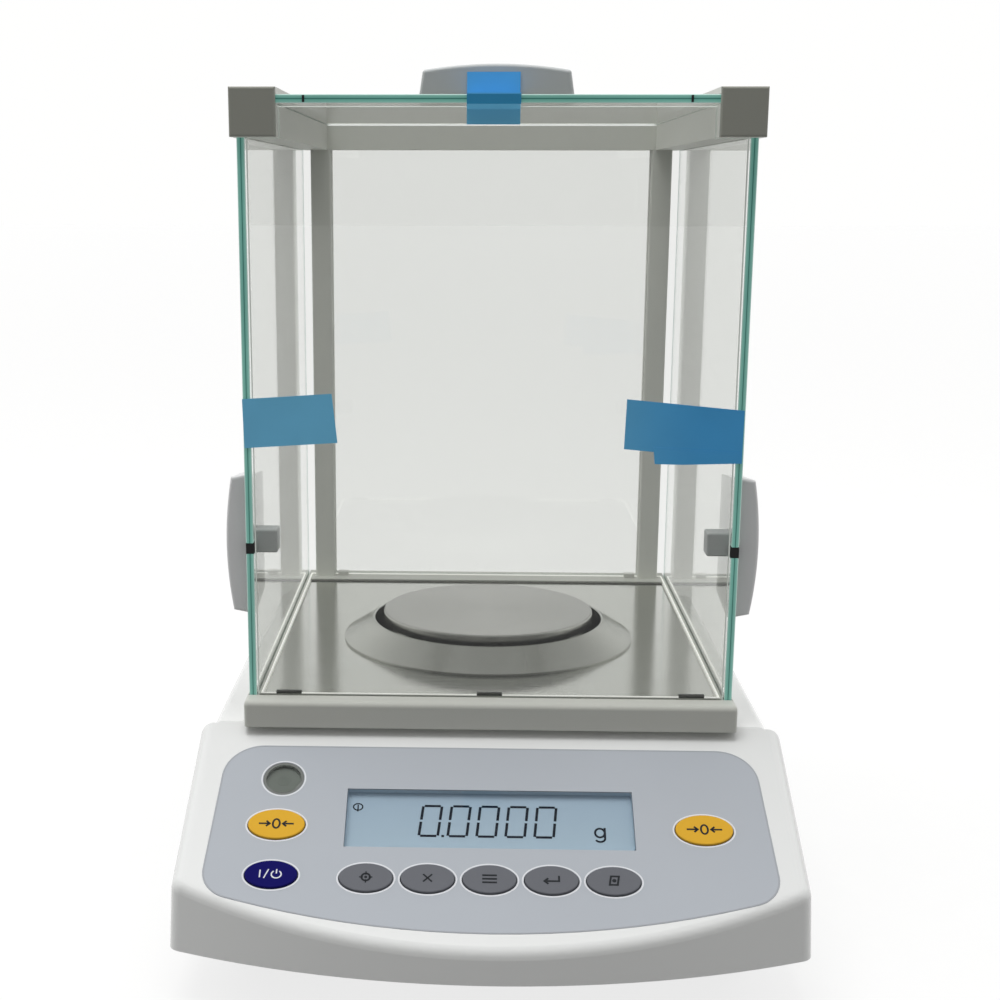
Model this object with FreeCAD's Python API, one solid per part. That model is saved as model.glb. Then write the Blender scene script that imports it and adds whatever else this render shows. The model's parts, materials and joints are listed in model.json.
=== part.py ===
"""Analytical balance with a glass draft shield, modelled as separate pieces in millimetres.

Frame: the origin is on the table, under the middle of the object's box. +X is to the
user's right, -Y is towards the user and +Z is up. Every piece is saved to parts/NODE.step.
"""
import FreeCAD, Part
import math
import os

V = FreeCAD.Vector

# ---------------------------------------------------------------- overall sizes
overall_width = 230.0       # housing, across its front corners
overall_depth = 303.0       # front of the keypad to the back of the housing
overall_height = 330.0      # table to the crown of the top door's grip
front = -overall_depth / 2
back = overall_depth / 2

# ---------------------------------------------------------------- clearances
slide_gap = 0.25            # between a sliding pane and its groove
stop_gap = 0.3              # between faces that meet at the end of a travel
seat_gap = 0.1              # between fixed pieces that drop into each other
turn_gap = 0.05             # radial, a turning or lifted pin in its bore

# ---------------------------------------------------------------- housing
wall = 2.5                  # upper housing wall
housing_low = 21.0          # lower edge of the housing above the table
deck = 86.0                 # top of the housing, under the draft shield
apron_length = 81.0         # keypad apron in front of the shield
side_flare = 3.7            # each side leans out by this from the deck to the lower edge
rear_step = 8.5             # the body behind the apron is narrower by this on each side
front_radius = 288.0        # plan radius of the apron's front
corner_radius = 6.0         # upright front corners
panel_edge_radius = 5.0     # rounded edge around the sloping panel
rear_corner_radius = 10.0
rear_edge_radius = 3.0
slope = 31.0                # keypad panel, degrees from level
panel_drop = 5.0            # panel height below the deck at the shield's front face
panel_setback = 1.5         # panel origin in front of the shield's front face
shoulder = 6.0              # apron overlaps the rear body by this, under the shield

shield_front = front + apron_length
panel_y = shield_front - panel_setback
panel_z = deck - panel_drop
rear_half = overall_width / 2 - rear_step

# ---------------------------------------------------------------- chassis, feet and screws
chassis_thick = 3.0
chassis_low = housing_low + 0.5
chassis_top = chassis_low + chassis_thick
foot_x = rear_half - 18.5
front_foot_y = shield_front - 10.0
rear_foot_y = back - 26.5
pad_radius = 11.0
pad_height = 4.0
wheel_radius = 12.0
wheel_height = 6.0
spindle_radius = 4.0
spindle_length = 28.0
boss_radius = 10.0
wheel_low = pad_height + stop_gap
boss_low = wheel_low + wheel_height + stop_gap
boss_step = 2.0             # the boss is this much slimmer over the chassis plate
boss_high = boss_low + spindle_length - boss_step
fixed_foot_height = 7.0
wheel_grips = 24            # notches around each foot wheel
wheel_grip_radius = 0.8
pad_floor = 1.5             # rubber under the spindle's end
soft_edge = 0.8             # rounding of the rubber feet
stem_radius = 3.0
stem_length = 7.0
screw_radius = 1.5
screw_head_radius = 3.2
screw_head_height = 2.2
screw_head_edge = 0.6
screw_slot = (0.8, 0.9)     # width and depth of a screw's slot
screw_bite = 9.0            # a screw reaches this far over the chassis
screw_room = 3.0            # and its hole is this much deeper
post_radius = 4.5           # screw posts inside the housing
post_x = 62.0
post_rows = (front + 40.0, shield_front + 40.0, back - 12.0)

# ---------------------------------------------------------------- draft shield
shield_width = 188.5
frame_height = 10.2
frame_inset = 0.25          # lower frame is narrower than the beams by this on each side
glass = 3.0
groove_depth = 4.0
beam_width = 16.5
beam_height = 17.0
beam_lip = 2.5              # beam above the top door
door_inset = 1.35           # beam's side to the outer face of the side door
pillar_lap = 1.55           # the rear pillars stand this far inside the beams
pillar_width = 9.6
pillar_depth = 13.0
door_setback = 8.9          # side doors start this far behind the shield's front
top_door_setback = 2.0
door_back_gap = 5.5         # side doors end this far before the back when shut
pane_proud = 0.3            # front pane stands in front of the side doors' edges by this
arris = 0.3                 # ground edge of every pane
foot_clip_width = 9.8       # small clips that hold the front pane in its slot
foot_clip_thick = 1.6
foot_clip_height = 1.2
foot_clip_inset = 7.1       # side pane to the outer clips
rear_seat_size = (5.0, 4.0, 2.0)
rear_seat_inset = 1.6
front_rail_depth = 13.1
rail_step = 1.3             # side door's inner face to the floor recess
rail_edge = 2.0             # rounded top edge of the front rail
rail_corner = 1.5
metal_edge = 0.8            # rounded edges of beams and pillars
ledge = 3.0                 # floor plate rests on this much of the frame
floor_drop = 1.0            # floor plate lies this far under the frame's top
floor_thick = 1.0
floor_rim = 1.2
floor_rim_height = 0.5
rear_rail_front = 6.5       # rear rail starts this far in front of the pillars
shield_screw_x = 45.0
shield_screw_setback = 11.0   # front row, behind the shield's front
shield_screw_inset = 4.0      # rear row, behind the pillars' front
shield_screw_bite = 5.0

frame_top = deck + frame_height
frame_half = shield_width / 2 - frame_inset
beam_half = shield_width / 2
beam_inner = beam_half - beam_width
pillar_front = back - pillar_depth
pillar_inner = beam_inner - pillar_lap
grip_height = 11.1
top_glass_high = overall_height - grip_height
top_glass_low = top_glass_high - glass
beam_top = top_glass_high + beam_lip
beam_low = beam_top - beam_height
crossbar_top = top_glass_low - 2 * slide_gap
side_glass_out = beam_half - door_inset
side_glass_in = side_glass_out - glass
side_rail_inner = side_glass_in - rail_step
side_glass_low = frame_top - groove_depth
side_glass_high = beam_low + groove_depth
side_glass_front = shield_front + door_setback
side_glass_back = back - door_back_gap
pane_front = side_glass_front - pane_proud
pane_back = pane_front + glass
floor_top = frame_top - floor_drop
rear_rail = pillar_front - rear_rail_front

# ---------------------------------------------------------------- grips and clips on the doors
grip_length = 55.5
grip_top_length = 52.8
grip_shoulder = 8.9
grip_depth = 30.0
grip_setback = 5.4          # grip starts this far behind a side door's front edge
grip_edge_radius = 1.2
side_grip_z = 154.0
top_grip_setback = 12.0
clip_reach = 8.5
clip_height = 9.0
clip_depth = 9.0
clip_edge_radius = 0.8
clip_z = 156.0
bush_height = 4.0
bush_depth = 8.8
bush_drop = 2.0             # middle of the bush below the middle of the clip
buffer_x = 68.0
buffer_width = 0.8
buffer_depth = 0.6

# ---------------------------------------------------------------- pan, ring and floor
pan_y = shield_front + 103.0
pan_radius = 45.6
pan_height = 4.6
pan_sheet = 1.0
pan_edge_radius = 0.8
pan_top = floor_top + 12.3
pan_gap = 3.8               # pan rim to the ring around it
ring_width = 13.4
ring_inner = pan_radius + pan_gap
ring_outer = ring_inner + ring_width
ring_sheet = 1.0
ring_low = floor_top + seat_gap
ring_foot = 0.9
ring_high = floor_top + 9.0
ring_lip = 3.0
support_radius = 32.0
support_thick = 2.0
hub_radius = 9.0
carrier_radius = 5.0
carrier_length = 6.0        # the pan's socket takes this much of the carrier pin
stub_clear_radius = 14.0    # hole in the floor and the deck around the pan's hub

# ---------------------------------------------------------------- transport tapes
tape_thick = 0.2
top_tape_x = -10.6          # left edge
top_tape_width = 19.0
top_tape_drop = 6.7         # on the front pane, below the top door
top_tape_climb = 8.2        # on the face of the top door's grip
side_tape_drop = 102.4      # below the beams, to the middle of the side tapes
# layer, then corners (across, above the middle) of each strip: left, right and the right one's fold
SIDE_TAPES = [
    (0, [(-93.0, 8.8), (-59.7, 11.0), (-57.7, -7.3), (-92.5, -9.5)]),
    (0, [(49.2, 9.6), (92.4, 5.6), (92.2, -12.9), (48.6, -8.9)]),
    (1, [(59.4, -8.0), (60.1, -14.4), (70.2, -14.6), (92.2, -14.0), (92.2, -10.0)]),
]

# ---------------------------------------------------------------- control panel
overlay_top = 2.4           # down the slope from the panel's origin
overlay_tip = 85.0          # lowest point of the overlay's curved edge
overlay_radius = 334.0
overlay_margin = 15.4       # housing side to overlay side, at the top
overlay_flare = 3.3         # overlay widens by this down to its lower corners
overlay_corner = 15.0
overlay_lower_corner = 12.0
overlay_thick = 0.5
overlay_proud = 0.1
window_width = 105.2
window_height = 26.2
window_s = 35.8             # middle of the display window down the slope
lens_flange = 2.0
lens_flange_thick = 1.0
lcd_thick = 2.4
lcd_margin = 1.5            # the display panel is larger than its window by this
backlight_thick = 3.0
lens_sunk = 0.2
outer_key_x = 77.8
tare_s = 39.8
power_s = 61.9
row_s = 62.7
row_pitch = 21.95
tare_size = (20.8, 13.1)
power_size = (18.9, 11.6)
row_size = (19.1, 12.0)
key_gap = 0.3
key_proud = 0.9
key_flange = 1.2
key_flange_thick = 0.8
key_travel = 0.5
key_edge_radius = 0.4
dome_radius = 3.0
dome_height = 0.8
dome_edge = 0.4
keypad_margin = 2.4         # board beyond the keys' edges
level_x = -77.0
level_s = 18.3
level_radius = 7.6
level_depth = 6.0
level_wall = 1.0
level_flange = 1.5
lid_thick = 2.0
lid_proud = 0.3
board_thick = 1.6

KEYS = {
    "key_tare_left": (-outer_key_x, tare_s, tare_size),
    "key_tare_right": (outer_key_x, tare_s, tare_size),
    "key_power": (-outer_key_x, power_s, power_size),
    "key_calibrate": (-2 * row_pitch, row_s, row_size),
    "key_clear": (-row_pitch, row_s, row_size),
    "key_mode": (0.0, row_s, row_size),
    "key_enter": (row_pitch, row_s, row_size),
    "key_print": (2 * row_pitch, row_s, row_size),
}

# ---------------------------------------------------------------- weigh cell and electronics
cell_width = 62.0
cell_length = 118.0
cell_height = 46.0
cell_standoff = 3.0
cell_wall = 9.0
cell_clearance = 1.0
cell_screw_inset = 20.0
cell_screw_bite = 5.0
standoff_radius = 4.0
receiver_half = 8.0         # half the depth of the block that carries the pan
flexure = 1.0               # thickness of the guide's two leaves
guide_spread = 26.0         # from the lower leaf to the lever
lever_size = (10.0, 4.0)
magnet_radius = 19.0
magnet_height = 26.0
coil_radius = 13.0
coil_height = 12.0
coil_wall = 2.0
coil_clearance = 1.5        # between the coil and the walls of the magnet's slot
coil_proud = 2.0            # the coil stands this far out of the magnet
slot_floor = 8.0
board_size = (58.0, 120.0)
board_inset = 5.0
board_gap = 4.0
board_setback = 24.0
board_standoff = 4.0
board_post_radius = 3.0
# corner on the board, size across, along and up
CHIPS = [((12, 20), (18, 18, 2)), ((36, 30), (14, 22, 8)), ((10, 60), (16, 24, 5))]
# centre on the board, radius and height
CAPACITORS = [((40, 72), 5, 14), ((40, 88), 4, 11)]
jack_radius = 2.9
jack_wall = 3.0
jack_deep = 12.0
jack_body = (16.0, 22.0, 15.0)
jack_pin_radius = 1.0
jack_x = 40.0
port_x = -30.0
connector_z = 48.0
port_screw_spacing = 25.0
port_screw_radius = 1.4
port_half = port_screw_spacing / 2 + 3.0
port_height = 12.4
port_deep = 14.0
port_tail_inset = (4.0, 1.2)
port_shell = (8.2, 7.2, 4.0)   # half widths at the top and bottom, half height
port_sunk = 1.0
port_contact_high = 0.7     # the contact block stands this high inside the shell
port_contact_share = 0.9     # and is this much smaller than it


# ---------------------------------------------------------------- helpers
def block(x0, x1, y0, y1, z0, z1):
    """A box between two corners."""
    return Part.makeBox(x1 - x0, y1 - y0, z1 - z0, V(x0, y0, z0))


def post(radius, x, y, z0, z1):
    """An upright cylinder."""
    return Part.makeCylinder(radius, z1 - z0, V(x, y, z0))


def rod_y(radius, x, z, y0, y1):
    """A cylinder along +Y."""
    return Part.makeCylinder(radius, y1 - y0, V(x, y0, z), V(0, 1, 0))


def mirrored(shape):
    """The same shape on the other side of the middle plane."""
    return shape.mirror(V(0, 0, 0), V(1, 0, 0))


def on_panel(shape):
    """Moves a shape from panel axes (x, up the slope, outwards) to its place on the housing."""
    moved = shape.copy()
    moved.Placement = FreeCAD.Placement(V(0, panel_y, panel_z), FreeCAD.Rotation(V(1, 0, 0), slope))
    return moved


def face_of(edges):
    """A flat face inside a closed chain of edges."""
    return Part.Face(Part.Wire(edges))


def polygon(points):
    """A flat face with straight edges."""
    return Part.Face(Part.makePolygon(points + [points[0]]))


def revolved(profile, x, y):
    """Turns a closed (radius, height) profile about an upright axis."""
    face = polygon([V(x + r, y, z) for r, z in profile])
    return face.revolve(V(x, y, 0), V(0, 0, 1), 360)


def rounded(shape, radius, keep):
    """Rounds the edges whose midpoint passes the test `keep`."""
    edges = [e for e in shape.Edges if keep(e.valueAt((e.FirstParameter + e.LastParameter) / 2), e)]
    return shape.makeFillet(radius, edges)


def is_upright(edge):
    """True for a straight edge that runs mostly along Z."""
    first, last = edge.Vertexes[0].Point, edge.Vertexes[-1].Point
    return abs(last.z - first.z) > 10 * math.hypot(last.x - first.x, last.y - first.y)


def pane(x0, x1, y0, y1, z0, z1):
    """A glass pane with ground edges."""
    sheet = block(x0, x1, y0, y1, z0, z1)
    return sheet.makeChamfer(arris, sheet.Edges)


def ellipse_prism(size, x, s, n0, n1, grow=0.0):
    """An oval prism standing on the panel, in panel axes."""
    curve = Part.Ellipse(V(x, -s, n0), size[0] / 2 + grow, size[1] / 2 + grow)
    return Part.Face(Part.Wire([curve.toShape()])).extrude(V(0, 0, n1 - n0))


def save(name, *solids):
    """Writes one node, as one solid or a group of separate ones."""
    shape = solids[0] if len(solids) == 1 else Part.makeCompound(list(solids))
    shape.exportStep(f"parts/{name}.step")


# ---------------------------------------------------------------- housing shapes
def front_edge(x, apex, radius):
    """Plan position of the apron's curved front at x."""
    return apex + radius - math.sqrt(radius ** 2 - x ** 2)


def apron_outline(half, apex, radius, rear, z):
    """Closed plan outline of the apron at one height."""
    corner = front_edge(half, apex, radius)
    arc = Part.Arc(V(-half, corner, z), V(0, apex, z), V(half, corner, z)).toShape()
    right = Part.makeLine(V(half, corner, z), V(half, rear, z))
    across = Part.makeLine(V(half, rear, z), V(-half, rear, z))
    left = Part.makeLine(V(-half, rear, z), V(-half, corner, z))
    return Part.Wire([arc, right, across, left])


def above_panel(n):
    """Everything above a plane parallel to the panel, at height n over it."""
    reach = overall_depth + overall_width
    return on_panel(block(-reach, reach, -reach, reach, n, n + reach))


def apron(inset, low):
    """Apron volume under the sloping panel, shrunk by `inset` all round."""
    half = overall_width / 2 - inset
    apex = front + inset
    radius = front_radius - inset
    rear = shield_front + shoulder - inset
    lower = apron_outline(half, apex, radius, rear, low)
    upper = apron_outline(half - side_flare, apex, radius, rear, deck - inset)
    return Part.makeLoft([lower, upper], True, True)


def rear_body(inset, low):
    """The box behind the apron, shrunk by `inset` all round."""
    half = rear_half - inset
    return block(-half, half, shield_front - apron_length / 3, back - inset, low, deck - inset)


def housing_outside():
    """Outer form of the upper housing with its rounded edges."""
    body = apron(0.0, housing_low)
    body = rounded(body, corner_radius, lambda p, e: is_upright(e) and p.y < shield_front)
    body = body.cut(above_panel(0.0))
    normal = V(0, -math.sin(math.radians(slope)), math.cos(math.radians(slope)))
    origin = V(0, panel_y, panel_z)
    body = rounded(body, panel_edge_radius,
                   lambda p, e: abs((p - origin).dot(normal)) < 0.01 and p.y < shield_front)
    rear = rear_body(0.0, housing_low)
    rear = rounded(rear, rear_corner_radius, lambda p, e: is_upright(e) and p.y > 0)
    rear = rounded(rear, rear_edge_radius, lambda p, e: p.z > deck - 0.01 and p.y > shield_front - 20.0)
    rear = rear.cut(above_panel(0.0))
    return body.fuse(rear).removeSplitter()


def housing_inside(inset, low):
    """Inner form of the upper housing."""
    rear = rounded(rear_body(inset, low), rear_corner_radius - inset, lambda p, e: is_upright(e) and p.y > 0)
    inside = apron(inset, low).fuse(rear)
    return inside.cut(above_panel(-inset)).removeSplitter()


def overlay_shape(n0, n1, grow):
    """The overlay's outline as a prism on the panel: straight top, curved lower edge."""
    top_half = overall_width / 2 - overlay_margin + grow
    low_half = top_half + overlay_flare
    radius = overlay_radius + grow
    tip = overlay_tip + grow
    low_s = tip - radius + math.sqrt(radius ** 2 - low_half ** 2)
    top_s = overlay_top - grow
    edges = [
        Part.makeLine(V(low_half, -low_s, n0), V(top_half, -top_s, n0)),
        Part.makeLine(V(top_half, -top_s, n0), V(-top_half, -top_s, n0)),
        Part.makeLine(V(-top_half, -top_s, n0), V(-low_half, -low_s, n0)),
        Part.Arc(V(-low_half, -low_s, n0), V(0, -tip, n0), V(low_half, -low_s, n0)).toShape(),
    ]
    prism = face_of(edges).extrude(V(0, 0, n1 - n0))
    prism = rounded(prism, overlay_corner + grow, lambda p, e: is_upright(e) and p.y > -overlay_tip / 2)
    return rounded(prism, overlay_lower_corner + grow,
                   lambda p, e: is_upright(e) and p.y < -overlay_tip / 2)


def window(n0, n1, grow):
    """The display window as a prism on the panel."""
    half_w = window_width / 2 + grow
    half_h = window_height / 2 + grow
    return block(-half_w, half_w, -window_s - half_h, -window_s + half_h, n0, n1)


def panel_disc(radius, n0, n1):
    """A disc prism at the level's place on the panel."""
    return Part.makeCylinder(radius, n1 - n0, V(level_x, -level_s, n0))


# screw posts join the chassis to the upper housing
SCREW_POSTS = [(x, y) for y in post_rows for x in (-post_x, post_x)]
# screws that hold the draft shield's frame down on the deck
shield_screw_rows = (shield_front + shield_screw_setback, pillar_front + shield_screw_inset)
SHIELD_SCREWS = [(x, y) for y in shield_screw_rows for x in (-shield_screw_x, shield_screw_x)]


def upper_housing():
    """White shell: sloping control panel in front, flat deck under the draft shield."""
    outside = housing_outside()
    shell = outside.cut(housing_inside(wall, housing_low - 1.0))
    for x, y in SCREW_POSTS:
        shell = shell.fuse(post(post_radius, x, y, chassis_top + seat_gap, deck).common(outside))
        hole_top = chassis_top + screw_bite + screw_room
        shell = shell.cut(post(screw_radius + turn_gap, x, y, chassis_low, hole_top))
    recess = overlay_proud - overlay_thick
    cuts = [overlay_shape(recess, wall, seat_gap), window(-2 * wall, wall, seat_gap),
            panel_disc(level_radius + seat_gap, -2 * wall, wall)]
    cuts += [ellipse_prism(size, x, s, -2 * wall, wall, key_gap) for x, s, size in KEYS.values()]
    for tool in cuts:
        shell = shell.cut(on_panel(tool))
    shell = shell.cut(post(stub_clear_radius, 0, pan_y, deck - 2 * wall, deck + wall))
    for x, y in SHIELD_SCREWS:
        shell = shell.cut(post(screw_radius + seat_gap, x, y, deck - 2 * wall, deck + wall))
    sleeve = jack_radius + jack_wall + seat_gap
    shell = shell.cut(rod_y(sleeve, jack_x, connector_z, back - 2 * wall, back + wall))
    half = port_half + seat_gap
    tall = port_height / 2 + seat_gap
    shell = shell.cut(block(port_x - half, port_x + half, back - 2 * wall, back + wall,
                            connector_z - tall, connector_z + tall))
    save("upper_housing", shell.removeSplitter())


def chassis():
    """Cast base plate that closes the housing from below and carries everything inside."""
    inset = wall + stop_gap
    plate = housing_inside(inset, chassis_low).common(
        block(-overall_width, overall_width, front, back, chassis_low, chassis_top))
    feet = [(x, front_foot_y) for x in (-foot_x, foot_x)]
    for x, y in feet:
        plate = plate.fuse(post(boss_radius, x, y, boss_low, chassis_top))
        plate = plate.fuse(post(boss_radius - boss_step, x, y, chassis_top, boss_high))
    for x in (-foot_x, foot_x):
        plate = plate.fuse(post(boss_radius, x, rear_foot_y, fixed_foot_height, chassis_top))
    for x, y in feet:
        plate = plate.cut(post(spindle_radius + turn_gap, x, y, 0, boss_high + wall))
    for x in (-foot_x, foot_x):
        hole_top = fixed_foot_height + stem_length + stop_gap
        plate = plate.cut(post(stem_radius + turn_gap, x, rear_foot_y, 0, hole_top))
    for x, y in SCREW_POSTS:
        plate = plate.cut(post(screw_radius + seat_gap, x, y, 0, chassis_top + wall))
    for x, y in cell_screw_places():
        plate = plate.fuse(post(standoff_radius, x, y, chassis_top, chassis_top + cell_standoff))
        plate = plate.cut(post(screw_radius + seat_gap, x, y, 0, chassis_top + 2 * cell_standoff))
    for x, y in board_posts():
        plate = plate.fuse(post(board_post_radius, x, y, chassis_top, chassis_top + board_standoff))
    save("chassis", plate.removeSplitter())


def cell_screw_places():
    """Four screws at the corners of the weigh cell."""
    inset = cell_wall / 2
    return [(x, pan_y + y) for x in (inset - cell_width / 2, cell_width / 2 - inset)
            for y in (cell_screw_inset - cell_length / 2, cell_length / 2 - cell_screw_inset)]


def board_posts():
    """Posts under the main board's corners."""
    x0 = main_board_x()
    return [(x0 + x, main_board_y() + y) for x in (board_inset, board_size[0] - board_inset)
            for y in (board_inset, board_size[1] - board_inset)]


def main_board_x():
    """Left edge of the main board, between the housing wall and the weigh cell."""
    return -cell_width / 2 - board_gap - board_size[0]


def main_board_y():
    """Front edge of the main board."""
    return back - board_setback - board_size[1]


def feet():
    """Two levelling feet at the front and two fixed rubber feet at the back."""
    for side, x in (("left", -foot_x), ("right", foot_x)):
        y = front_foot_y
        pad = post(pad_radius, x, y, 0, pad_height)
        pad = rounded(pad, soft_edge, lambda p, e: p.z > pad_height - 0.01)
        pad = pad.cut(post(spindle_radius + turn_gap, x, y, pad_floor, 2 * pad_height))
        save(f"front_{side}_foot_pad", pad)
        wheel = post(wheel_radius, x, y, wheel_low, wheel_low + wheel_height)
        for i in range(wheel_grips):
            turn = 2 * math.pi * i / wheel_grips
            notch_x = x + wheel_radius * math.cos(turn)
            notch_y = y + wheel_radius * math.sin(turn)
            wheel = wheel.cut(post(wheel_grip_radius, notch_x, notch_y, 0, boss_low))
        spindle = post(spindle_radius, x, y, pad_floor + stop_gap, boss_low + spindle_length)
        save(f"front_{side}_foot_screw", wheel.fuse(spindle).removeSplitter())
    fixed_feet = []
    for x in (-foot_x, foot_x):
        foot = post(boss_radius, x, rear_foot_y, 0, fixed_foot_height)
        foot = rounded(foot, soft_edge, lambda p, e: p.z < 0.01)
        stem = post(stem_radius, x, rear_foot_y, fixed_foot_height, fixed_foot_height + stem_length)
        fixed_feet.append(foot.fuse(stem).removeSplitter())
    save("rear_feet", *fixed_feet)


def pan_head_screw(x, y, head_low, shank_top):
    """A screw driven upwards, with its head below."""
    head = post(screw_head_radius, x, y, head_low, head_low + screw_head_height)
    head = rounded(head, screw_head_edge, lambda p, e: p.z < head_low + 0.01)
    half, deep = screw_slot[0] / 2, screw_slot[1]
    slot = block(x - screw_head_radius, x + screw_head_radius, y - half, y + half, 0, head_low + deep)
    shank = post(screw_radius, x, y, head_low + screw_head_height, shank_top)
    return head.cut(slot).fuse(shank)


def screws():
    """Screws that hold the chassis, the weigh cell and the shield frame."""
    under = chassis_low - screw_head_height
    base = [pan_head_screw(x, y, under, chassis_top + screw_bite) for x, y in SCREW_POSTS]
    high = chassis_top + cell_standoff + cell_screw_bite
    base += [pan_head_screw(x, y, under, high) for x, y in cell_screw_places()]
    save("base_screws", *base)
    under_deck = deck - wall - screw_head_height
    high = deck + shield_screw_bite
    save("shield_screws", *[pan_head_screw(x, y, under_deck, high) for x, y in SHIELD_SCREWS])


# ---------------------------------------------------------------- control panel pieces
def control_overlay():
    """Printed film with windows for the display, the level and the keys."""
    film = overlay_shape(overlay_proud - overlay_thick, overlay_proud, 0.0)
    film = film.cut(window(-wall, 1.0, seat_gap))
    film = film.cut(panel_disc(level_radius + seat_gap, -wall, 1.0))
    for x, s, size in KEYS.values():
        film = film.cut(ellipse_prism(size, x, s, -wall, 1.0, key_gap))
    save("control_overlay", on_panel(film))


def display():
    """Clear lens in the window, the liquid crystal panel behind it and its backlight."""
    flange_top = -wall - seat_gap
    flange_low = flange_top - lens_flange_thick
    lens = window(flange_top, -lens_sunk, -seat_gap).fuse(window(flange_low, flange_top, lens_flange))
    save("display_lens", on_panel(lens.removeSplitter()))
    panel_high = flange_low - seat_gap
    save("lcd_panel", on_panel(window(panel_high - lcd_thick, panel_high, lcd_margin)))
    light_high = panel_high - lcd_thick - seat_gap
    save("lcd_backlight", on_panel(window(light_high - backlight_thick, light_high, lcd_margin)))


def keys():
    """Eight oval keys, each with a flange behind the panel, and the switches under them."""
    flange_high = -wall - stop_gap
    flange_low = flange_high - key_flange_thick
    for name, (x, s, size) in KEYS.items():
        cap = ellipse_prism(size, x, s, flange_low, key_proud)
        cap = rounded(cap, key_edge_radius, lambda p, e: p.z > key_proud - 0.01)
        flange = ellipse_prism(size, x, s, flange_low, flange_high, key_flange)
        save(name, on_panel(cap.fuse(flange).removeSplitter()))
    dome_high = flange_low - key_travel - stop_gap
    board_high = dome_high - dome_height
    domes = []
    for x, s, size in KEYS.values():
        dome = Part.makeCylinder(dome_radius, dome_height, V(x, -s, board_high))
        domes.append(on_panel(rounded(dome, dome_edge, lambda p, e: p.z > dome_high - 0.01)))
    save("key_switches", *domes)
    half = outer_key_x + tare_size[0] / 2 + keypad_margin
    low, high = -row_s - row_size[1] / 2 - keypad_margin, -tare_s + tare_size[1] / 2 + keypad_margin
    board = block(-half, half, low, high, board_high - board_thick, board_high)
    board = board.cut(window(board_high - 2 * board_thick, board_high + wall, lens_flange + keypad_margin))
    board = on_panel(board)
    for x, y in SCREW_POSTS:
        board = board.cut(post(post_radius + 2 * stop_gap, x, y, housing_low, deck))
    save("keypad_board", board)


def level():
    """Bubble level set into the panel: a cup with a clear lid."""
    bore = level_radius - level_wall
    cup = panel_disc(level_radius, -level_depth, 0.0)
    flange_high = -wall - seat_gap
    cup = cup.fuse(panel_disc(level_radius + level_flange, flange_high - level_wall, flange_high))
    cup = cup.cut(panel_disc(bore, level_wall - level_depth, wall))
    save("level_cup", on_panel(cup.removeSplitter()))
    lid = panel_disc(bore - turn_gap, -lid_thick, lid_proud)
    save("level_lid", on_panel(rounded(lid, lid_proud, lambda p, e: p.z > lid_proud - 0.01)))


# ---------------------------------------------------------------- weigh cell and electronics
def weigh_cell():
    """Force-compensation weigh cell: frame, guide, lever, coil in its magnet, pan carrier."""
    low = chassis_top + cell_standoff
    high = low + cell_height
    floor_z = low + cell_wall
    half = cell_width / 2
    y0 = pan_y - cell_length / 2
    y1 = pan_y + cell_length / 2
    body = block(-half, half, y0, y1, low, high)
    room = half - cell_wall
    body = body.cut(block(-room, room, y0 - cell_wall, y1 - cell_wall, floor_z, high + cell_wall))
    for x, y in cell_screw_places():
        hole_top = low + cell_screw_bite + 2 * seat_gap
        body = body.cut(post(screw_radius + turn_gap, x, y, 0, hole_top))
    save("weigh_cell_frame", body)
    inner = room - cell_clearance
    magnet_y = y1 - cell_wall - magnet_radius - 2 * cell_clearance
    magnet_high = floor_z + magnet_height
    magnet = post(magnet_radius, 0, magnet_y, floor_z, magnet_high)
    slot = post(coil_radius + coil_clearance, 0, magnet_y, floor_z + slot_floor, high)
    slot = slot.cut(post(coil_radius - coil_wall - coil_clearance, 0, magnet_y, 0, high))
    save("magnet_pot", magnet.cut(slot))
    coil_high = magnet_high + coil_proud
    coil_low = coil_high - coil_height
    coil = post(coil_radius, 0, magnet_y, coil_low, coil_high)
    save("coil", coil.cut(post(coil_radius - coil_wall, 0, magnet_y, 0, high)))
    lever_half = lever_size[0] / 2
    lever_high = coil_high + lever_size[1]
    lever_back = magnet_y + coil_radius
    save("lever", block(-lever_half, lever_half, pan_y + receiver_half, lever_back, coil_high, lever_high))
    guide_low = coil_high - guide_spread
    receiver = block(-inner, inner, pan_y - receiver_half, pan_y + receiver_half, guide_low, lever_high)
    pin_top = pan_top - pan_sheet - support_thick - seat_gap - stop_gap
    receiver = receiver.fuse(post(carrier_radius, 0, pan_y, lever_high, pin_top))
    receiver = receiver.fuse(post(hub_radius, 0, pan_y, lever_high, pin_top - carrier_length - stop_gap))
    save("pan_carrier", receiver.removeSplitter())
    guide = block(-inner, inner, y0, y0 + 2 * flexure, floor_z, lever_high)
    for z in (guide_low, lever_high - flexure):
        guide = guide.fuse(block(-inner, inner, y0, pan_y - receiver_half, z, z + flexure))
    save("parallel_guide", guide.removeSplitter())


def electronics():
    """Main board on its posts, its components and the sockets at the back."""
    x0, y0 = main_board_x(), main_board_y()
    z0 = chassis_top + board_standoff
    z1 = z0 + board_thick
    save("main_board", block(x0, x0 + board_size[0], y0, y0 + board_size[1], z0, z1))
    parts = [Part.makeBox(*size, V(x0 + x, y0 + y, z1)) for (x, y), size in CHIPS]
    parts += [post(radius, x0 + x, y0 + y, z1, z1 + height) for (x, y), radius, height in CAPACITORS]
    save("board_components", *parts)
    power_socket()
    data_socket()


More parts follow.
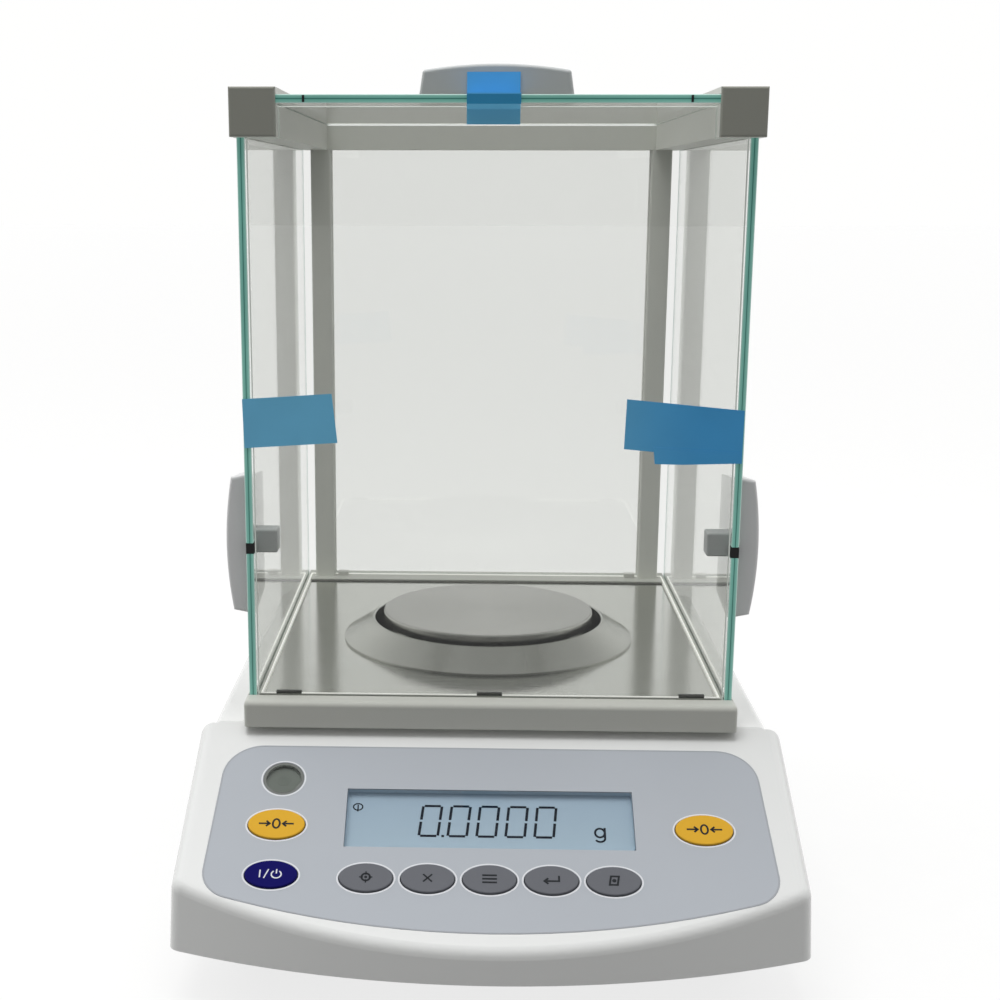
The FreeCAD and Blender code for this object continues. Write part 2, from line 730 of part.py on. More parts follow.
def power_socket():
    """Round socket with its centre pin, for a plug-in adapter."""
    wide, deep, tall = jack_body
    inside = back - wall - seat_gap
    jack = rod_y(jack_radius + jack_wall, jack_x, connector_z, inside - wall, back)
    jack = jack.fuse(block(jack_x - wide / 2, jack_x + wide / 2, back - deep, inside,
                           connector_z - tall / 2, connector_z + tall / 2))
    jack = jack.cut(rod_y(jack_radius, jack_x, connector_z, back - jack_deep, back + wall))
    pin_back = back - 2 * jack_pin_radius
    pin = rod_y(jack_pin_radius, jack_x, connector_z, back - jack_deep - jack_wall, pin_back)
    save("power_inlet", jack.fuse(pin).removeSplitter())


def data_socket():
    """Nine-way socket with two screw holes."""
    plate = block(port_x - port_half, port_x + port_half, back - wall, back,
                  connector_z - port_height / 2, connector_z + port_height / 2)
    half = port_half - port_tail_inset[0]
    tall = port_height / 2 - port_tail_inset[1]
    tail = block(port_x - half, port_x + half, back - port_deep, back - wall,
                 connector_z - tall, connector_z + tall)
    upper, lower, rise = port_shell
    corners = [(-upper, rise), (upper, rise), (lower, -rise), (-lower, -rise)]
    y = back - port_sunk
    shell = polygon([V(port_x + x, y, connector_z + z) for x, z in corners])
    port = plate.fuse(tail).cut(shell.extrude(V(0, 2 * port_sunk, 0)))
    contacts = shell.copy()
    contacts.scale(port_contact_share, V(port_x, y, connector_z))
    port = port.fuse(contacts.extrude(V(0, port_contact_high, 0)))
    for side in (-1, 1):
        x = port_x + side * port_screw_spacing / 2
        port = port.cut(rod_y(port_screw_radius, x, connector_z, back - 2 * wall, back + wall))
    save("data_port", port.removeSplitter())


# ---------------------------------------------------------------- draft shield
def door_groove(z0, z1, y1):
    """Room for a side door's edge, on the right."""
    y0 = side_glass_front - stop_gap
    return block(side_glass_in - slide_gap, side_glass_out + slide_gap, y0, y1, z0, z1)


def shield_frame():
    """Lower frame: front rail, two side rails with door grooves, rear rail and floor ledge."""
    frame = block(-frame_half, frame_half, shield_front, back, deck, frame_top)
    frame = rounded(frame, rail_edge, lambda p, e: p.z > frame_top - 0.01 and p.y < shield_front + 0.01)
    frame = rounded(frame, rail_corner, lambda p, e: is_upright(e) and p.y < shield_front + 2 * rail_corner)
    y0 = shield_front + front_rail_depth
    recess = block(-side_rail_inner, side_rail_inner, y0, rear_rail, floor_top - floor_thick, frame_top + 1)
    edge = side_rail_inner - ledge
    hole = block(-edge, edge, y0 + ledge, rear_rail - ledge, 0, frame_top)
    frame = frame.cut(recess).cut(hole)
    groove = door_groove(side_glass_low - stop_gap, frame_top + 1, back + 1)
    frame = frame.cut(groove).cut(mirrored(groove))
    gap = seat_gap
    slot = side_glass_in - slide_gap - gap
    slot_low = side_glass_low - gap
    frame = frame.cut(block(-slot, slot, pane_front - gap, pane_back + gap, slot_low, frame_top + 1))
    rear_y = rear_pane_y()
    frame = frame.cut(block(-pillar_inner - gap, pillar_inner + gap, rear_y - gap, rear_y + glass + gap,
                            slot_low, frame_top + 1))
    for x, y in SHIELD_SCREWS:
        frame = frame.cut(post(screw_radius + turn_gap, x, y, 0, deck + shield_screw_bite + seat_gap))
    save("shield_frame", frame.removeSplitter())


def rear_pane_y():
    """Front face of the rear pane, in the middle of the pillars."""
    return pillar_front + (pillar_depth - glass) / 2


def beams():
    """Top side beams with a groove below for the side door and one inside for the top door."""
    beam = block(beam_inner, beam_half, shield_front, back, beam_low, beam_top)
    beam = rounded(beam, metal_edge, lambda p, e: p.y < shield_front + 0.01)
    beam = beam.cut(door_groove(beam_low - 1, side_glass_high + stop_gap, back + 1))
    top_front = shield_front + top_door_setback - stop_gap
    beam = beam.cut(block(beam_inner - 1, beam_inner + groove_depth, top_front, back + 1,
                          top_glass_low - slide_gap, top_glass_high + slide_gap))
    save("right_top_beam", beam)
    save("left_top_beam", mirrored(beam))


def rear_posts():
    """Rear pillars and the crossbar, which hold the rear pane in their grooves."""
    gap = seat_gap
    y0 = rear_pane_y() - gap
    y1 = rear_pane_y() + glass + gap
    pillar = block(pillar_inner, pillar_inner + pillar_width, pillar_front, back, frame_top, beam_low)
    pillar = rounded(pillar, metal_edge, lambda p, e: is_upright(e) and p.y < pillar_front + 0.01)
    pillar = pillar.cut(block(0, pillar_inner + groove_depth, y0, y1, 0, beam_low + 1))
    save("rear_pillars", pillar, mirrored(pillar))
    bar = block(-beam_inner, beam_inner, pillar_front, back, beam_low, crossbar_top)
    bar = bar.cut(block(-beam_inner - 1, beam_inner + 1, y0, y1, 0, beam_low + groove_depth))
    save("rear_crossbar", bar)


def stepped_pane(edge, step, y0, z0, z1):
    """A pane stepped in at its top corners, so that it passes between the beams."""
    sheet = block(-edge, edge, y0, y0 + glass, z0, beam_low - seat_gap)
    neck = block(-step, step, y0, y0 + glass, beam_low - glass, z1)
    sheet = sheet.fuse(neck).removeSplitter()
    return sheet.makeChamfer(arris, sheet.Edges)


def fixed_panes():
    """Front pane, rear pane between the pillars, and the small clips at their feet."""
    step = beam_inner - 3 * seat_gap
    edge = side_glass_in - slide_gap - 2 * seat_gap
    save("front_pane", stepped_pane(edge, step, pane_front, side_glass_low, top_glass_low - 3 * slide_gap))
    half = pillar_inner + groove_depth - 2 * seat_gap
    y0 = rear_pane_y()
    save("rear_pane", stepped_pane(half, step, y0, frame_top + seat_gap, beam_low + groove_depth - seat_gap))
    clips = []
    half = foot_clip_width / 2
    z1 = frame_top + foot_clip_height
    for x in (half - side_glass_in + 2 * seat_gap + foot_clip_inset, 0.0,
              side_glass_in - half - 2 * seat_gap - foot_clip_inset):
        clips.append(block(x - half, x + half, pane_back + seat_gap, pane_back + foot_clip_thick,
                           frame_top, z1))
    wide, deep, tall = rear_seat_size
    for side in (-1, 1):
        x0 = side * (pillar_inner - seat_gap - wide / 2 - rear_seat_inset) - wide / 2
        clips.append(block(x0, x0 + wide, y0 - deep, y0 - seat_gap, frame_top, frame_top + tall))
    save("pane_clips", *clips)


def grip():
    """A door grip lying on z = 0: leaning ends and a top arched along its length."""
    half = grip_length / 2
    top = grip_top_length / 2
    arc = Part.Arc(V(top, 0, grip_shoulder), V(0, 0, grip_height), V(-top, 0, grip_shoulder)).toShape()
    edges = [Part.makeLine(V(-half, 0, 0), V(half, 0, 0)),
             Part.makeLine(V(half, 0, 0), V(top, 0, grip_shoulder)),
             arc, Part.makeLine(V(-top, 0, grip_shoulder), V(-half, 0, 0))]
    body = face_of(edges).extrude(V(0, grip_depth, 0))
    return rounded(body, grip_edge_radius, lambda p, e: p.z > grip_edge_radius / 2)


def side_door():
    """Sliding side door: pane with a notch for the bush, grip outside, clip inside."""
    sheet = pane(side_glass_in, side_glass_out, side_glass_front, side_glass_back,
                 side_glass_low, side_glass_high)
    z0 = clip_z - bush_drop - bush_height / 2
    notch_back = side_glass_front + bush_depth + seat_gap
    sheet = sheet.cut(block(0, frame_half, side_glass_front - 1, notch_back, z0 - seat_gap,
                            z0 + bush_height + seat_gap))
    bush = block(side_glass_in, side_glass_out, side_glass_front + seat_gap, notch_back - seat_gap,
                 z0, z0 + bush_height)
    handle = grip()
    handle.rotate(V(0, 0, 0), V(0, 1, 0), 90)
    handle.translate(V(side_glass_out, side_glass_front + grip_setback, side_grip_z))
    y0 = side_glass_front + grip_setback
    clip = block(side_glass_in - clip_reach, side_glass_in, y0, y0 + clip_depth,
                 clip_z - clip_height / 2, clip_z + clip_height / 2)
    clip = rounded(clip, clip_edge_radius, lambda p, e: p.x < side_glass_in - 0.01)
    pieces = {"door_pane": sheet, "door_bush": bush, "door_grip": handle, "door_clip": clip}
    for name, shape in pieces.items():
        save(f"right_{name}", shape)
        save(f"left_{name}", mirrored(shape))


def top_door():
    """Sliding top door with its grip and two small rubber buffers on the front edge."""
    half = beam_inner + groove_depth - 2 * slide_gap
    y0 = shield_front + top_door_setback
    save("top_door_pane", pane(-half, half, y0, back - stop_gap, top_glass_low, top_glass_high))
    handle = grip()
    handle.translate(V(0, y0 + top_grip_setback, top_glass_high))
    save("top_door_grip", handle)
    buffers = []
    for x in (-buffer_x, buffer_x):
        buffers.append(block(x - buffer_width / 2, x + buffer_width / 2, y0 - buffer_depth, y0,
                             top_glass_low + arris, top_glass_high - arris))
    save("top_door_buffers", *buffers)


# ---------------------------------------------------------------- pan, ring and floor plate
def floor_plate():
    """Stainless floor of the weighing chamber with a low rolled edge."""
    x = side_rail_inner - seat_gap
    y0 = shield_front + front_rail_depth + seat_gap
    y1 = rear_rail - seat_gap
    z0 = floor_top - floor_thick
    plate = block(-x, x, y0, y1, z0, floor_top + floor_rim_height)
    inner = block(floor_rim - x, x - floor_rim, y0 + floor_rim, y1 - floor_rim, floor_top, floor_top + 2.0)
    plate = plate.cut(inner).cut(post(stub_clear_radius, 0, pan_y, 0, floor_top + 1))
    save("floor_plate", plate)


def shield_ring():
    """Conical ring that keeps draughts from under the pan."""
    profile = [(ring_outer, ring_low), (ring_outer, ring_low + ring_foot),
               (ring_inner + ring_sheet, ring_high), (ring_inner, ring_high),
               (ring_inner, ring_high - ring_lip), (ring_inner + ring_sheet, ring_high - ring_lip),
               (ring_inner + ring_sheet, ring_high - 1.6 * ring_sheet),
               (ring_outer - 2.0 * ring_sheet, ring_low)]
    ring = revolved(profile, 0, pan_y)
    save("shield_ring", rounded(ring, 0.3, lambda p, e: p.z > ring_high - 0.01))


def weighing_pan():
    """Round pan with a turned-down rim and the support that sits on the carrier pin."""
    low = pan_top - pan_height
    pan = post(pan_radius, 0, pan_y, low, pan_top)
    pan = rounded(pan, pan_edge_radius, lambda p, e: p.z > pan_top - 0.01)
    pan = pan.cut(post(pan_radius - pan_sheet, 0, pan_y, low - 1, pan_top - pan_sheet))
    save("weighing_pan", pan)
    high = pan_top - pan_sheet
    plate = post(support_radius, 0, pan_y, high - support_thick, high)
    hub_low = high - support_thick - carrier_length
    hub = post(hub_radius, 0, pan_y, hub_low, high - support_thick)
    support = plate.fuse(hub)
    socket_top = high - support_thick - seat_gap
    support = support.cut(post(carrier_radius + turn_gap, 0, pan_y, 0, socket_top))
    save("pan_support", support.removeSplitter())


# ---------------------------------------------------------------- transport tapes
def front_tape(corners, layer):
    """A strip stuck on the front pane, from its corners across and above the tapes' middle."""
    y = pane_front - (layer + 1) * tape_thick
    middle = beam_low - side_tape_drop
    face = polygon([V(x, y, middle + z) for x, z in corners])
    return face.extrude(V(0, tape_thick, 0))


def transport_tapes():
    """Three film strips that hold the doors for transport; the doors run clear of them."""
    save("side_transport_tapes", *[front_tape(corners, layer) for layer, corners in SIDE_TAPES])
    door_y = shield_front + top_door_setback - buffer_depth - stop_gap
    grip_y = shield_front + top_door_setback + top_grip_setback - stop_gap
    over = top_glass_high + stop_gap
    tip = top_glass_high + top_tape_climb
    under = top_glass_low - stop_gap
    line = [(pane_front, under - top_tape_drop), (pane_front, under - glass / 2), (door_y, under),
            (door_y, over), (grip_y, over), (grip_y, tip)]
    thick = tape_thick
    outer = [(y - thick, z) for y, z in line[:3]]
    outer += [(door_y - thick, over + thick), (grip_y - thick, over + thick), (grip_y - thick, tip)]
    face = polygon([V(top_tape_x, y, z) for y, z in line + outer[::-1]])
    save("top_transport_tape", face.extrude(V(top_tape_width, 0, 0)))


# ---------------------------------------------------------------- build
os.makedirs("parts", exist_ok=True)
for build in (upper_housing, chassis, feet, screws, control_overlay, display, keys, level, weigh_cell,
              electronics, shield_frame, beams, rear_posts, fixed_panes, side_door, top_door,
              floor_plate, shield_ring, weighing_pan, transport_tapes):
    build()
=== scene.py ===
# %% [markdown]
# # An analytical balance, dressed around its measured frame
# The balance weighs a tenth of a milligram, so it stands in its own glass house. A white
# moulded housing carries a sloping keypad and a display in front, and a draft shield of
# clear glass on top. This lesson adds what a frame can't hold: the finish of each
# surface, the green polished edges of the glass, the pale seals, the printed symbols and
# the display, and the painted light and shade that some of them carry.

# %% Load the frame
import json
import math

import bpy
import numpy as np
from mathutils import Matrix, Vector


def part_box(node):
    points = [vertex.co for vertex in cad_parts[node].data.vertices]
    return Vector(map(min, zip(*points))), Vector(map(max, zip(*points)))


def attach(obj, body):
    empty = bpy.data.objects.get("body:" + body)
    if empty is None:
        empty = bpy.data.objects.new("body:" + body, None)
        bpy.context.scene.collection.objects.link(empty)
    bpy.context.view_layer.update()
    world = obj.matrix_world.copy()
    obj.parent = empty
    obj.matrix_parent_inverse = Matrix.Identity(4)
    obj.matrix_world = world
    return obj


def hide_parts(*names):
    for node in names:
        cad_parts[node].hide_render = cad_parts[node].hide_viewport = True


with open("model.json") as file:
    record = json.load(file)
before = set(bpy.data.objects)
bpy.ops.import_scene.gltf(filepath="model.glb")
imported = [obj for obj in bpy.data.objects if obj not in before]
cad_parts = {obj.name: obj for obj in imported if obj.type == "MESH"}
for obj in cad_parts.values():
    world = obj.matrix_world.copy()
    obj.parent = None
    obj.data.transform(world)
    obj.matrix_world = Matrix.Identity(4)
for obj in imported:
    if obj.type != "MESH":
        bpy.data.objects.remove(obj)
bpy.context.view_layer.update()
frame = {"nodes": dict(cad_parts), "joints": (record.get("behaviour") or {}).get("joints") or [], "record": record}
nodes = frame["nodes"]
record = frame["record"]
MM = 0.001

# %% [markdown]
# ## The camera
# A product portrait is taken from a little above the keypad, a short step to the left of
# the middle, with a lens of about 59 mm on a 36 mm sensor. The framing is shifted, as a
# view camera shifts its back, so that the uprights of the glass house stay nearly
# parallel. The camera's axes are worked out from its yaw, pitch and roll.

# %% Camera
camera_place = (-7.7 * MM, -663.4 * MM, 287.5 * MM)
camera_yaw = math.radians(-1.8724)
camera_pitch = math.radians(13.6489)
camera_roll = math.radians(0.0945)
camera_lens = 58.774
camera_shift = (0.0813, 0.0829)


def aimed_matrix(place, yaw, pitch, roll):
    """World matrix of a camera: forward is the heading tipped down by the pitch, right is
    level and square to it, and both side axes are then turned about forward by the roll."""
    forward = np.array([math.sin(yaw) * math.cos(pitch), math.cos(yaw) * math.cos(pitch),
                        -math.sin(pitch)])
    level = np.array([math.cos(yaw), -math.sin(yaw), 0.0])
    upright = np.cross(level, forward)
    right = math.cos(roll) * level + math.sin(roll) * upright
    up = -math.sin(roll) * level + math.cos(roll) * upright
    matrix = np.eye(4)
    matrix[:3, 0] = right
    matrix[:3, 1] = up
    matrix[:3, 2] = -forward
    matrix[:3, 3] = place
    return matrix


camera_data = bpy.data.cameras.new("portrait_camera")
camera_data.lens = camera_lens
camera_data.sensor_width = 36.0
camera_data.shift_x, camera_data.shift_y = camera_shift
camera = bpy.data.objects.new("portrait_camera", camera_data)
bpy.context.scene.collection.objects.link(camera)
camera.matrix_world = aimed_matrix(camera_place, camera_yaw, camera_pitch, camera_roll).T.tolist()
bpy.context.scene.camera = camera
print("camera at", camera_place)

# %% [markdown]
# ## Light and stage
# The balance stands in a white tent: bright above, behind and at the sides, and dim in
# front, where the camera is. That dim front is what gives the upright faces of the
# shield their mid grey while the panel stays pale. The tent is the world's colour,
# mixed by direction. A grey card behind and above keeps the steel from glaring, and one
# broad lamp overhead gives the housing its soft sheen.

# %% Tent, lamp and floor
tent_front = 0.1
tent_side = 0.95
tent_top = 1.25
tent_turn = (-0.85, 0.25)           # along Y, from the dim front to the bright sides
tent_rise = (0.15, 0.9)             # along Z, from the sides to the top
tent_white = (1.0, 1.0, 0.995, 1.0)
flag_toward = (0.05, 0.52, 0.85)    # a grey card hangs this way, behind and above
flag_edge = (0.72, 0.95)            # cosine of the angle at its rim and inside it
flag_dimming = 0.3
lamp_place = (-0.2, -0.16, 1.45)
lamp_target = (0.0, -0.1, 0.1)
lamp_size = 0.9
lamp_power = 11.5
floor_reach = 12.0
floor_glow = 0.79
front_glow_share = 0.25             # reflections see the floor in front dimmer, like the tent
front_glow_edge = (-0.5, -0.1)      # along Y, where that dimming ends


def link(tree, *pairs):
    """Joins sockets, given as (from, to) pairs."""
    for start, end in pairs:
        tree.links.new(start, end)


def math_node(tree, operation, first, second=0.0, clamp=False):
    """A Math node. Each operand is a socket or a number."""
    node = tree.nodes.new("ShaderNodeMath")
    node.operation = operation
    node.use_clamp = clamp
    for slot, operand in enumerate((first, second)):
        if isinstance(operand, (int, float)):
            node.inputs[slot].default_value = operand
        else:
            tree.links.new(operand, node.inputs[slot])
    return node.outputs[0]


def smooth_range(tree, value, low, high, out_low=0.0, out_high=1.0):
    """Maps a value from one range to another with soft ends."""
    node = tree.nodes.new("ShaderNodeMapRange")
    node.interpolation_type = "SMOOTHSTEP"
    for name, number in (("From Min", low), ("From Max", high), ("To Min", out_low), ("To Max", out_high)):
        node.inputs[name].default_value = number
    tree.links.new(value, node.inputs["Value"])
    return node.outputs["Result"]


def seen_directly(tree):
    """1 where the eye looks straight at something, or at it through glass."""
    path = tree.nodes.new("ShaderNodeLightPath")
    bounces = math_node(tree, "ADD", path.outputs["Glossy Depth"], path.outputs["Diffuse Depth"])
    straight = math_node(tree, "SUBTRACT", 1.0, bounces, clamp=True)
    through = math_node(tree, "MULTIPLY", path.outputs["Is Transmission Ray"], straight)
    return math_node(tree, "MAXIMUM", path.outputs["Is Camera Ray"], through)


def build_tent():
    """World whose brightness depends on the direction: dim in front, bright elsewhere."""
    world = bpy.data.worlds.new("light_tent")
    world.use_nodes = True
    tree = world.node_tree
    place = tree.nodes.new("ShaderNodeTexCoord")
    axes = tree.nodes.new("ShaderNodeSeparateXYZ")
    link(tree, (place.outputs["Generated"], axes.inputs[0]))
    around = smooth_range(tree, axes.outputs["Y"], *tent_turn, tent_front, tent_side)
    above = smooth_range(tree, axes.outputs["Z"], *tent_rise, 0.0, tent_top - tent_side)
    toward = tree.nodes.new("ShaderNodeVectorMath")
    toward.operation = "DOT_PRODUCT"
    toward.inputs[1].default_value = flag_toward
    link(tree, (place.outputs["Generated"], toward.inputs[0]))
    flag = smooth_range(tree, toward.outputs["Value"], *flag_edge, 1.0, flag_dimming)
    light = math_node(tree, "MULTIPLY", math_node(tree, "ADD", around, above), flag)
    seen = math_node(tree, "MAXIMUM", seen_directly(tree), light)
    link(tree, (seen, tree.nodes["Background"].inputs["Strength"]))
    tree.nodes["Background"].inputs["Color"].default_value = tent_white
    bpy.context.scene.world = world


def add_lamp(name, place, target, size, power):
    """A square soft box at `place` that faces `target`."""
    data = bpy.data.lights.new(name, "AREA")
    data.size = size
    data.energy = power
    lamp = bpy.data.objects.new(name, data)
    bpy.context.scene.collection.objects.link(lamp)
    lamp.visible_glossy = False
    lamp.visible_transmission = False
    away = np.subtract(place, target)
    away = away / np.linalg.norm(away)
    side = np.cross((0.0, 1.0, 0.001), away)
    side = side / np.linalg.norm(side)
    matrix = np.eye(4)
    matrix[:3, 0], matrix[:3, 1], matrix[:3, 2], matrix[:3, 3] = side, np.cross(away, side), away, place
    lamp.matrix_world = matrix.T.tolist()


build_tent()
add_lamp("overhead_box", lamp_place, lamp_target, lamp_size, lamp_power)
bpy.context.scene.view_settings.view_transform = "Standard"
print("tent and lamp ready")

# %% [markdown]
# ## Mesh helpers
# Every new piece is a surface on a grid of two parameters, worked out by numpy as whole
# arrays. A grid can close on itself either way, and its open ends are filled by one
# flat face each, so that a piece is a closed shell with its faces outwards.

# %% Mesh helpers
def grid_faces(rows, columns, wrap_rows=False, wrap_columns=False):
    """Quads that join each point of a rows × columns grid to the next row and column."""
    row_count = rows if wrap_rows else rows - 1
    column_count = columns if wrap_columns else columns - 1
    i, j = np.meshgrid(np.arange(row_count), np.arange(column_count), indexing="ij")
    next_i, next_j = (i + 1) % rows, (j + 1) % columns
    quads = np.stack([i * columns + j, i * columns + next_j, next_i * columns + next_j,
                      next_i * columns + j], axis=-1)
    return quads.reshape(-1, 4).tolist()


def make_piece(name, points, faces, materials, face_materials=None, smooth=False):
    """Puts points and faces into a new mesh object at the origin."""
    mesh = bpy.data.meshes.new(name)
    mesh.from_pydata(np.asarray(points, float).reshape(-1, 3).tolist(), [], faces)
    for material in materials:
        mesh.materials.append(material)
    if face_materials is not None:
        mesh.polygons.foreach_set("material_index", np.asarray(face_materials, np.int32))
    mesh.polygons.foreach_set("use_smooth", np.full(len(mesh.polygons), smooth))
    mesh.validate()
    mesh.update()
    piece = bpy.data.objects.new(name, mesh)
    bpy.context.scene.collection.objects.link(piece)
    return piece


def node_points(node):
    """All points of a frame node, as an array."""
    points = np.empty(len(nodes[node].data.vertices) * 3, np.float32)
    nodes[node].data.vertices.foreach_get("co", points)
    return points.reshape(-1, 3).astype(float)


def finish_piece(piece, body):
    """Lets a piece ride on a body."""
    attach(piece, body)
    return piece


# %% [markdown]
# ## Shared effects
# Several finishes need the same two effects. `fine_grain` is the faint unevenness of a
# moulded, painted or brushed skin: noise, stretched as the material asks, gives a mask
# and a normal. `tone_drift` lets a colour wander a little over a surface, because no
# real part is one flat colour. Both are node groups, so that each material sets only
# its own numbers.

# %% Node groups
def new_group(name, inputs, outputs):
    """An empty shader node group with the named sockets, and its two end nodes."""
    group = bpy.data.node_groups.new(name, "ShaderNodeTree")
    for direction, sockets in (("INPUT", inputs), ("OUTPUT", outputs)):
        for label, kind, value in sockets:
            socket = group.interface.new_socket(name=label, in_out=direction, socket_type=kind)
            if value is not None:
                socket.default_value = value
    return group, group.nodes.new("NodeGroupInput"), group.nodes.new("NodeGroupOutput")


def build_fine_grain():
    """Noise over stretched coordinates, as a mask and as a bumped normal."""
    group, start, end = new_group(
        "fine_grain",
        [("Vector", "NodeSocketVector", None), ("Stretch", "NodeSocketVector", (1.0, 1.0, 1.0)),
         ("Scale", "NodeSocketFloat", 900.0), ("Detail", "NodeSocketFloat", 2.0),
         ("Strength", "NodeSocketFloat", 0.1), ("Depth", "NodeSocketFloat", 0.0001)],
        [("Mask", "NodeSocketFloat", None), ("Normal", "NodeSocketVector", None)])
    stretch = group.nodes.new("ShaderNodeVectorMath")
    stretch.operation = "MULTIPLY"
    noise = group.nodes.new("ShaderNodeTexNoise")
    bump = group.nodes.new("ShaderNodeBump")
    link(group, (start.outputs["Vector"], stretch.inputs[0]), (start.outputs["Stretch"], stretch.inputs[1]),
         (stretch.outputs[0], noise.inputs["Vector"]), (start.outputs["Scale"], noise.inputs["Scale"]),
         (start.outputs["Detail"], noise.inputs["Detail"]), (noise.outputs["Fac"], bump.inputs["Height"]),
         (start.outputs["Strength"], bump.inputs["Strength"]),
         (start.outputs["Depth"], bump.inputs["Distance"]),
         (noise.outputs["Fac"], end.inputs["Mask"]), (bump.outputs["Normal"], end.inputs["Normal"]))
    return group


def build_tone_drift():
    """A colour that drifts between two tones over broad patches."""
    group, start, end = new_group(
        "tone_drift",
        [("Vector", "NodeSocketVector", None), ("Color", "NodeSocketColor", (0.5, 0.5, 0.5, 1.0)),
         ("Drift", "NodeSocketFloat", 0.06), ("Scale", "NodeSocketFloat", 20.0)],
        [("Color", "NodeSocketColor", None)])
    noise = group.nodes.new("ShaderNodeTexNoise")
    darker = group.nodes.new("ShaderNodeMix")
    darker.data_type = "RGBA"
    darker.blend_type = "MULTIPLY"
    tone = group.nodes.new("ShaderNodeCombineColor")
    shift = math_node(group, "MULTIPLY", noise.outputs["Fac"], start.outputs["Drift"])
    level = math_node(group, "SUBTRACT", 1.0, shift)
    darker.inputs["Factor"].default_value = 1.0
    link(group, (start.outputs["Vector"], noise.inputs["Vector"]),
         (start.outputs["Scale"], noise.inputs["Scale"]),
         (level, tone.inputs[0]), (level, tone.inputs[1]), (level, tone.inputs[2]),
         (start.outputs["Color"], darker.inputs["A"]), (tone.outputs[0], darker.inputs["B"]),
         (darker.outputs["Result"], end.inputs["Color"]))
    return group


FINE_GRAIN = build_fine_grain()
TONE_DRIFT = build_tone_drift()
print("groups:", FINE_GRAIN.name, TONE_DRIFT.name)

# %% [markdown]
# ## One recipe for most finishes
# Moulded plastic, paint, rubber and metal differ in a few numbers: colour, gloss, how
# metallic they are and the grain of their skin. So one function builds them, with the
# grain feeding roughness and normal. What is the same all over a surface is set on the
# shader's own socket.

# %% Finishes from one recipe
def srgb(red, green, blue):
    """A colour given as screen values from 0 to 255, as linear light."""
    value = np.array([red, green, blue]) / 255.0
    linear = np.where(value <= 0.04045, value / 12.92, ((value + 0.055) / 1.055) ** 2.4)
    return (*linear.tolist(), 1.0)


def new_material(name):
    """A material with its node tree, its shader and its object coordinates."""
    material = bpy.data.materials.new(name)
    material.use_nodes = True
    tree = material.node_tree
    place = tree.nodes.new("ShaderNodeTexCoord")
    return material, tree, tree.nodes["Principled BSDF"], place.outputs["Object"]


def group_node(tree, group, **values):
    """Places a node group and sets its inputs; underscores in names stand for spaces."""
    node = tree.nodes.new("ShaderNodeGroup")
    node.node_tree = group
    for label, value in values.items():
        node.inputs[label.replace("_", " ")].default_value = value
    return node


def add_skin(tree, shader, vector, color, drift, rough, rough_spread, grain):
    """Colour that drifts, and roughness and normal that follow a fine grain."""
    tone = group_node(tree, TONE_DRIFT, Color=color, Drift=drift)
    skin = group_node(tree, FINE_GRAIN, **grain)
    spread = smooth_range(tree, skin.outputs["Mask"], 0.3, 0.7, rough - rough_spread, rough + rough_spread)
    link(tree, (vector, tone.inputs["Vector"]), (vector, skin.inputs["Vector"]),
         (tone.outputs["Color"], shader.inputs["Base Color"]), (spread, shader.inputs["Roughness"]),
         (skin.outputs["Normal"], shader.inputs["Normal"]))
    return tone, skin


def finish(name, color, rough, metallic=0.0, coat=0.0, gloss=0.5, drift=0.05, rough_spread=0.03,
           stretch=(1.0, 1.0, 1.0), scale=900.0, strength=0.08, depth=0.0001):
    """A plain finish: plastic, paint, rubber or metal."""
    material, tree, shader, vector = new_material(name)
    shader.inputs["Metallic"].default_value = metallic
    shader.inputs["Coat Weight"].default_value = coat
    shader.inputs["Specular IOR Level"].default_value = gloss
    add_skin(tree, shader, vector, color, drift, rough, rough_spread,
             dict(Stretch=stretch, Scale=scale, Strength=strength, Depth=depth))
    return material


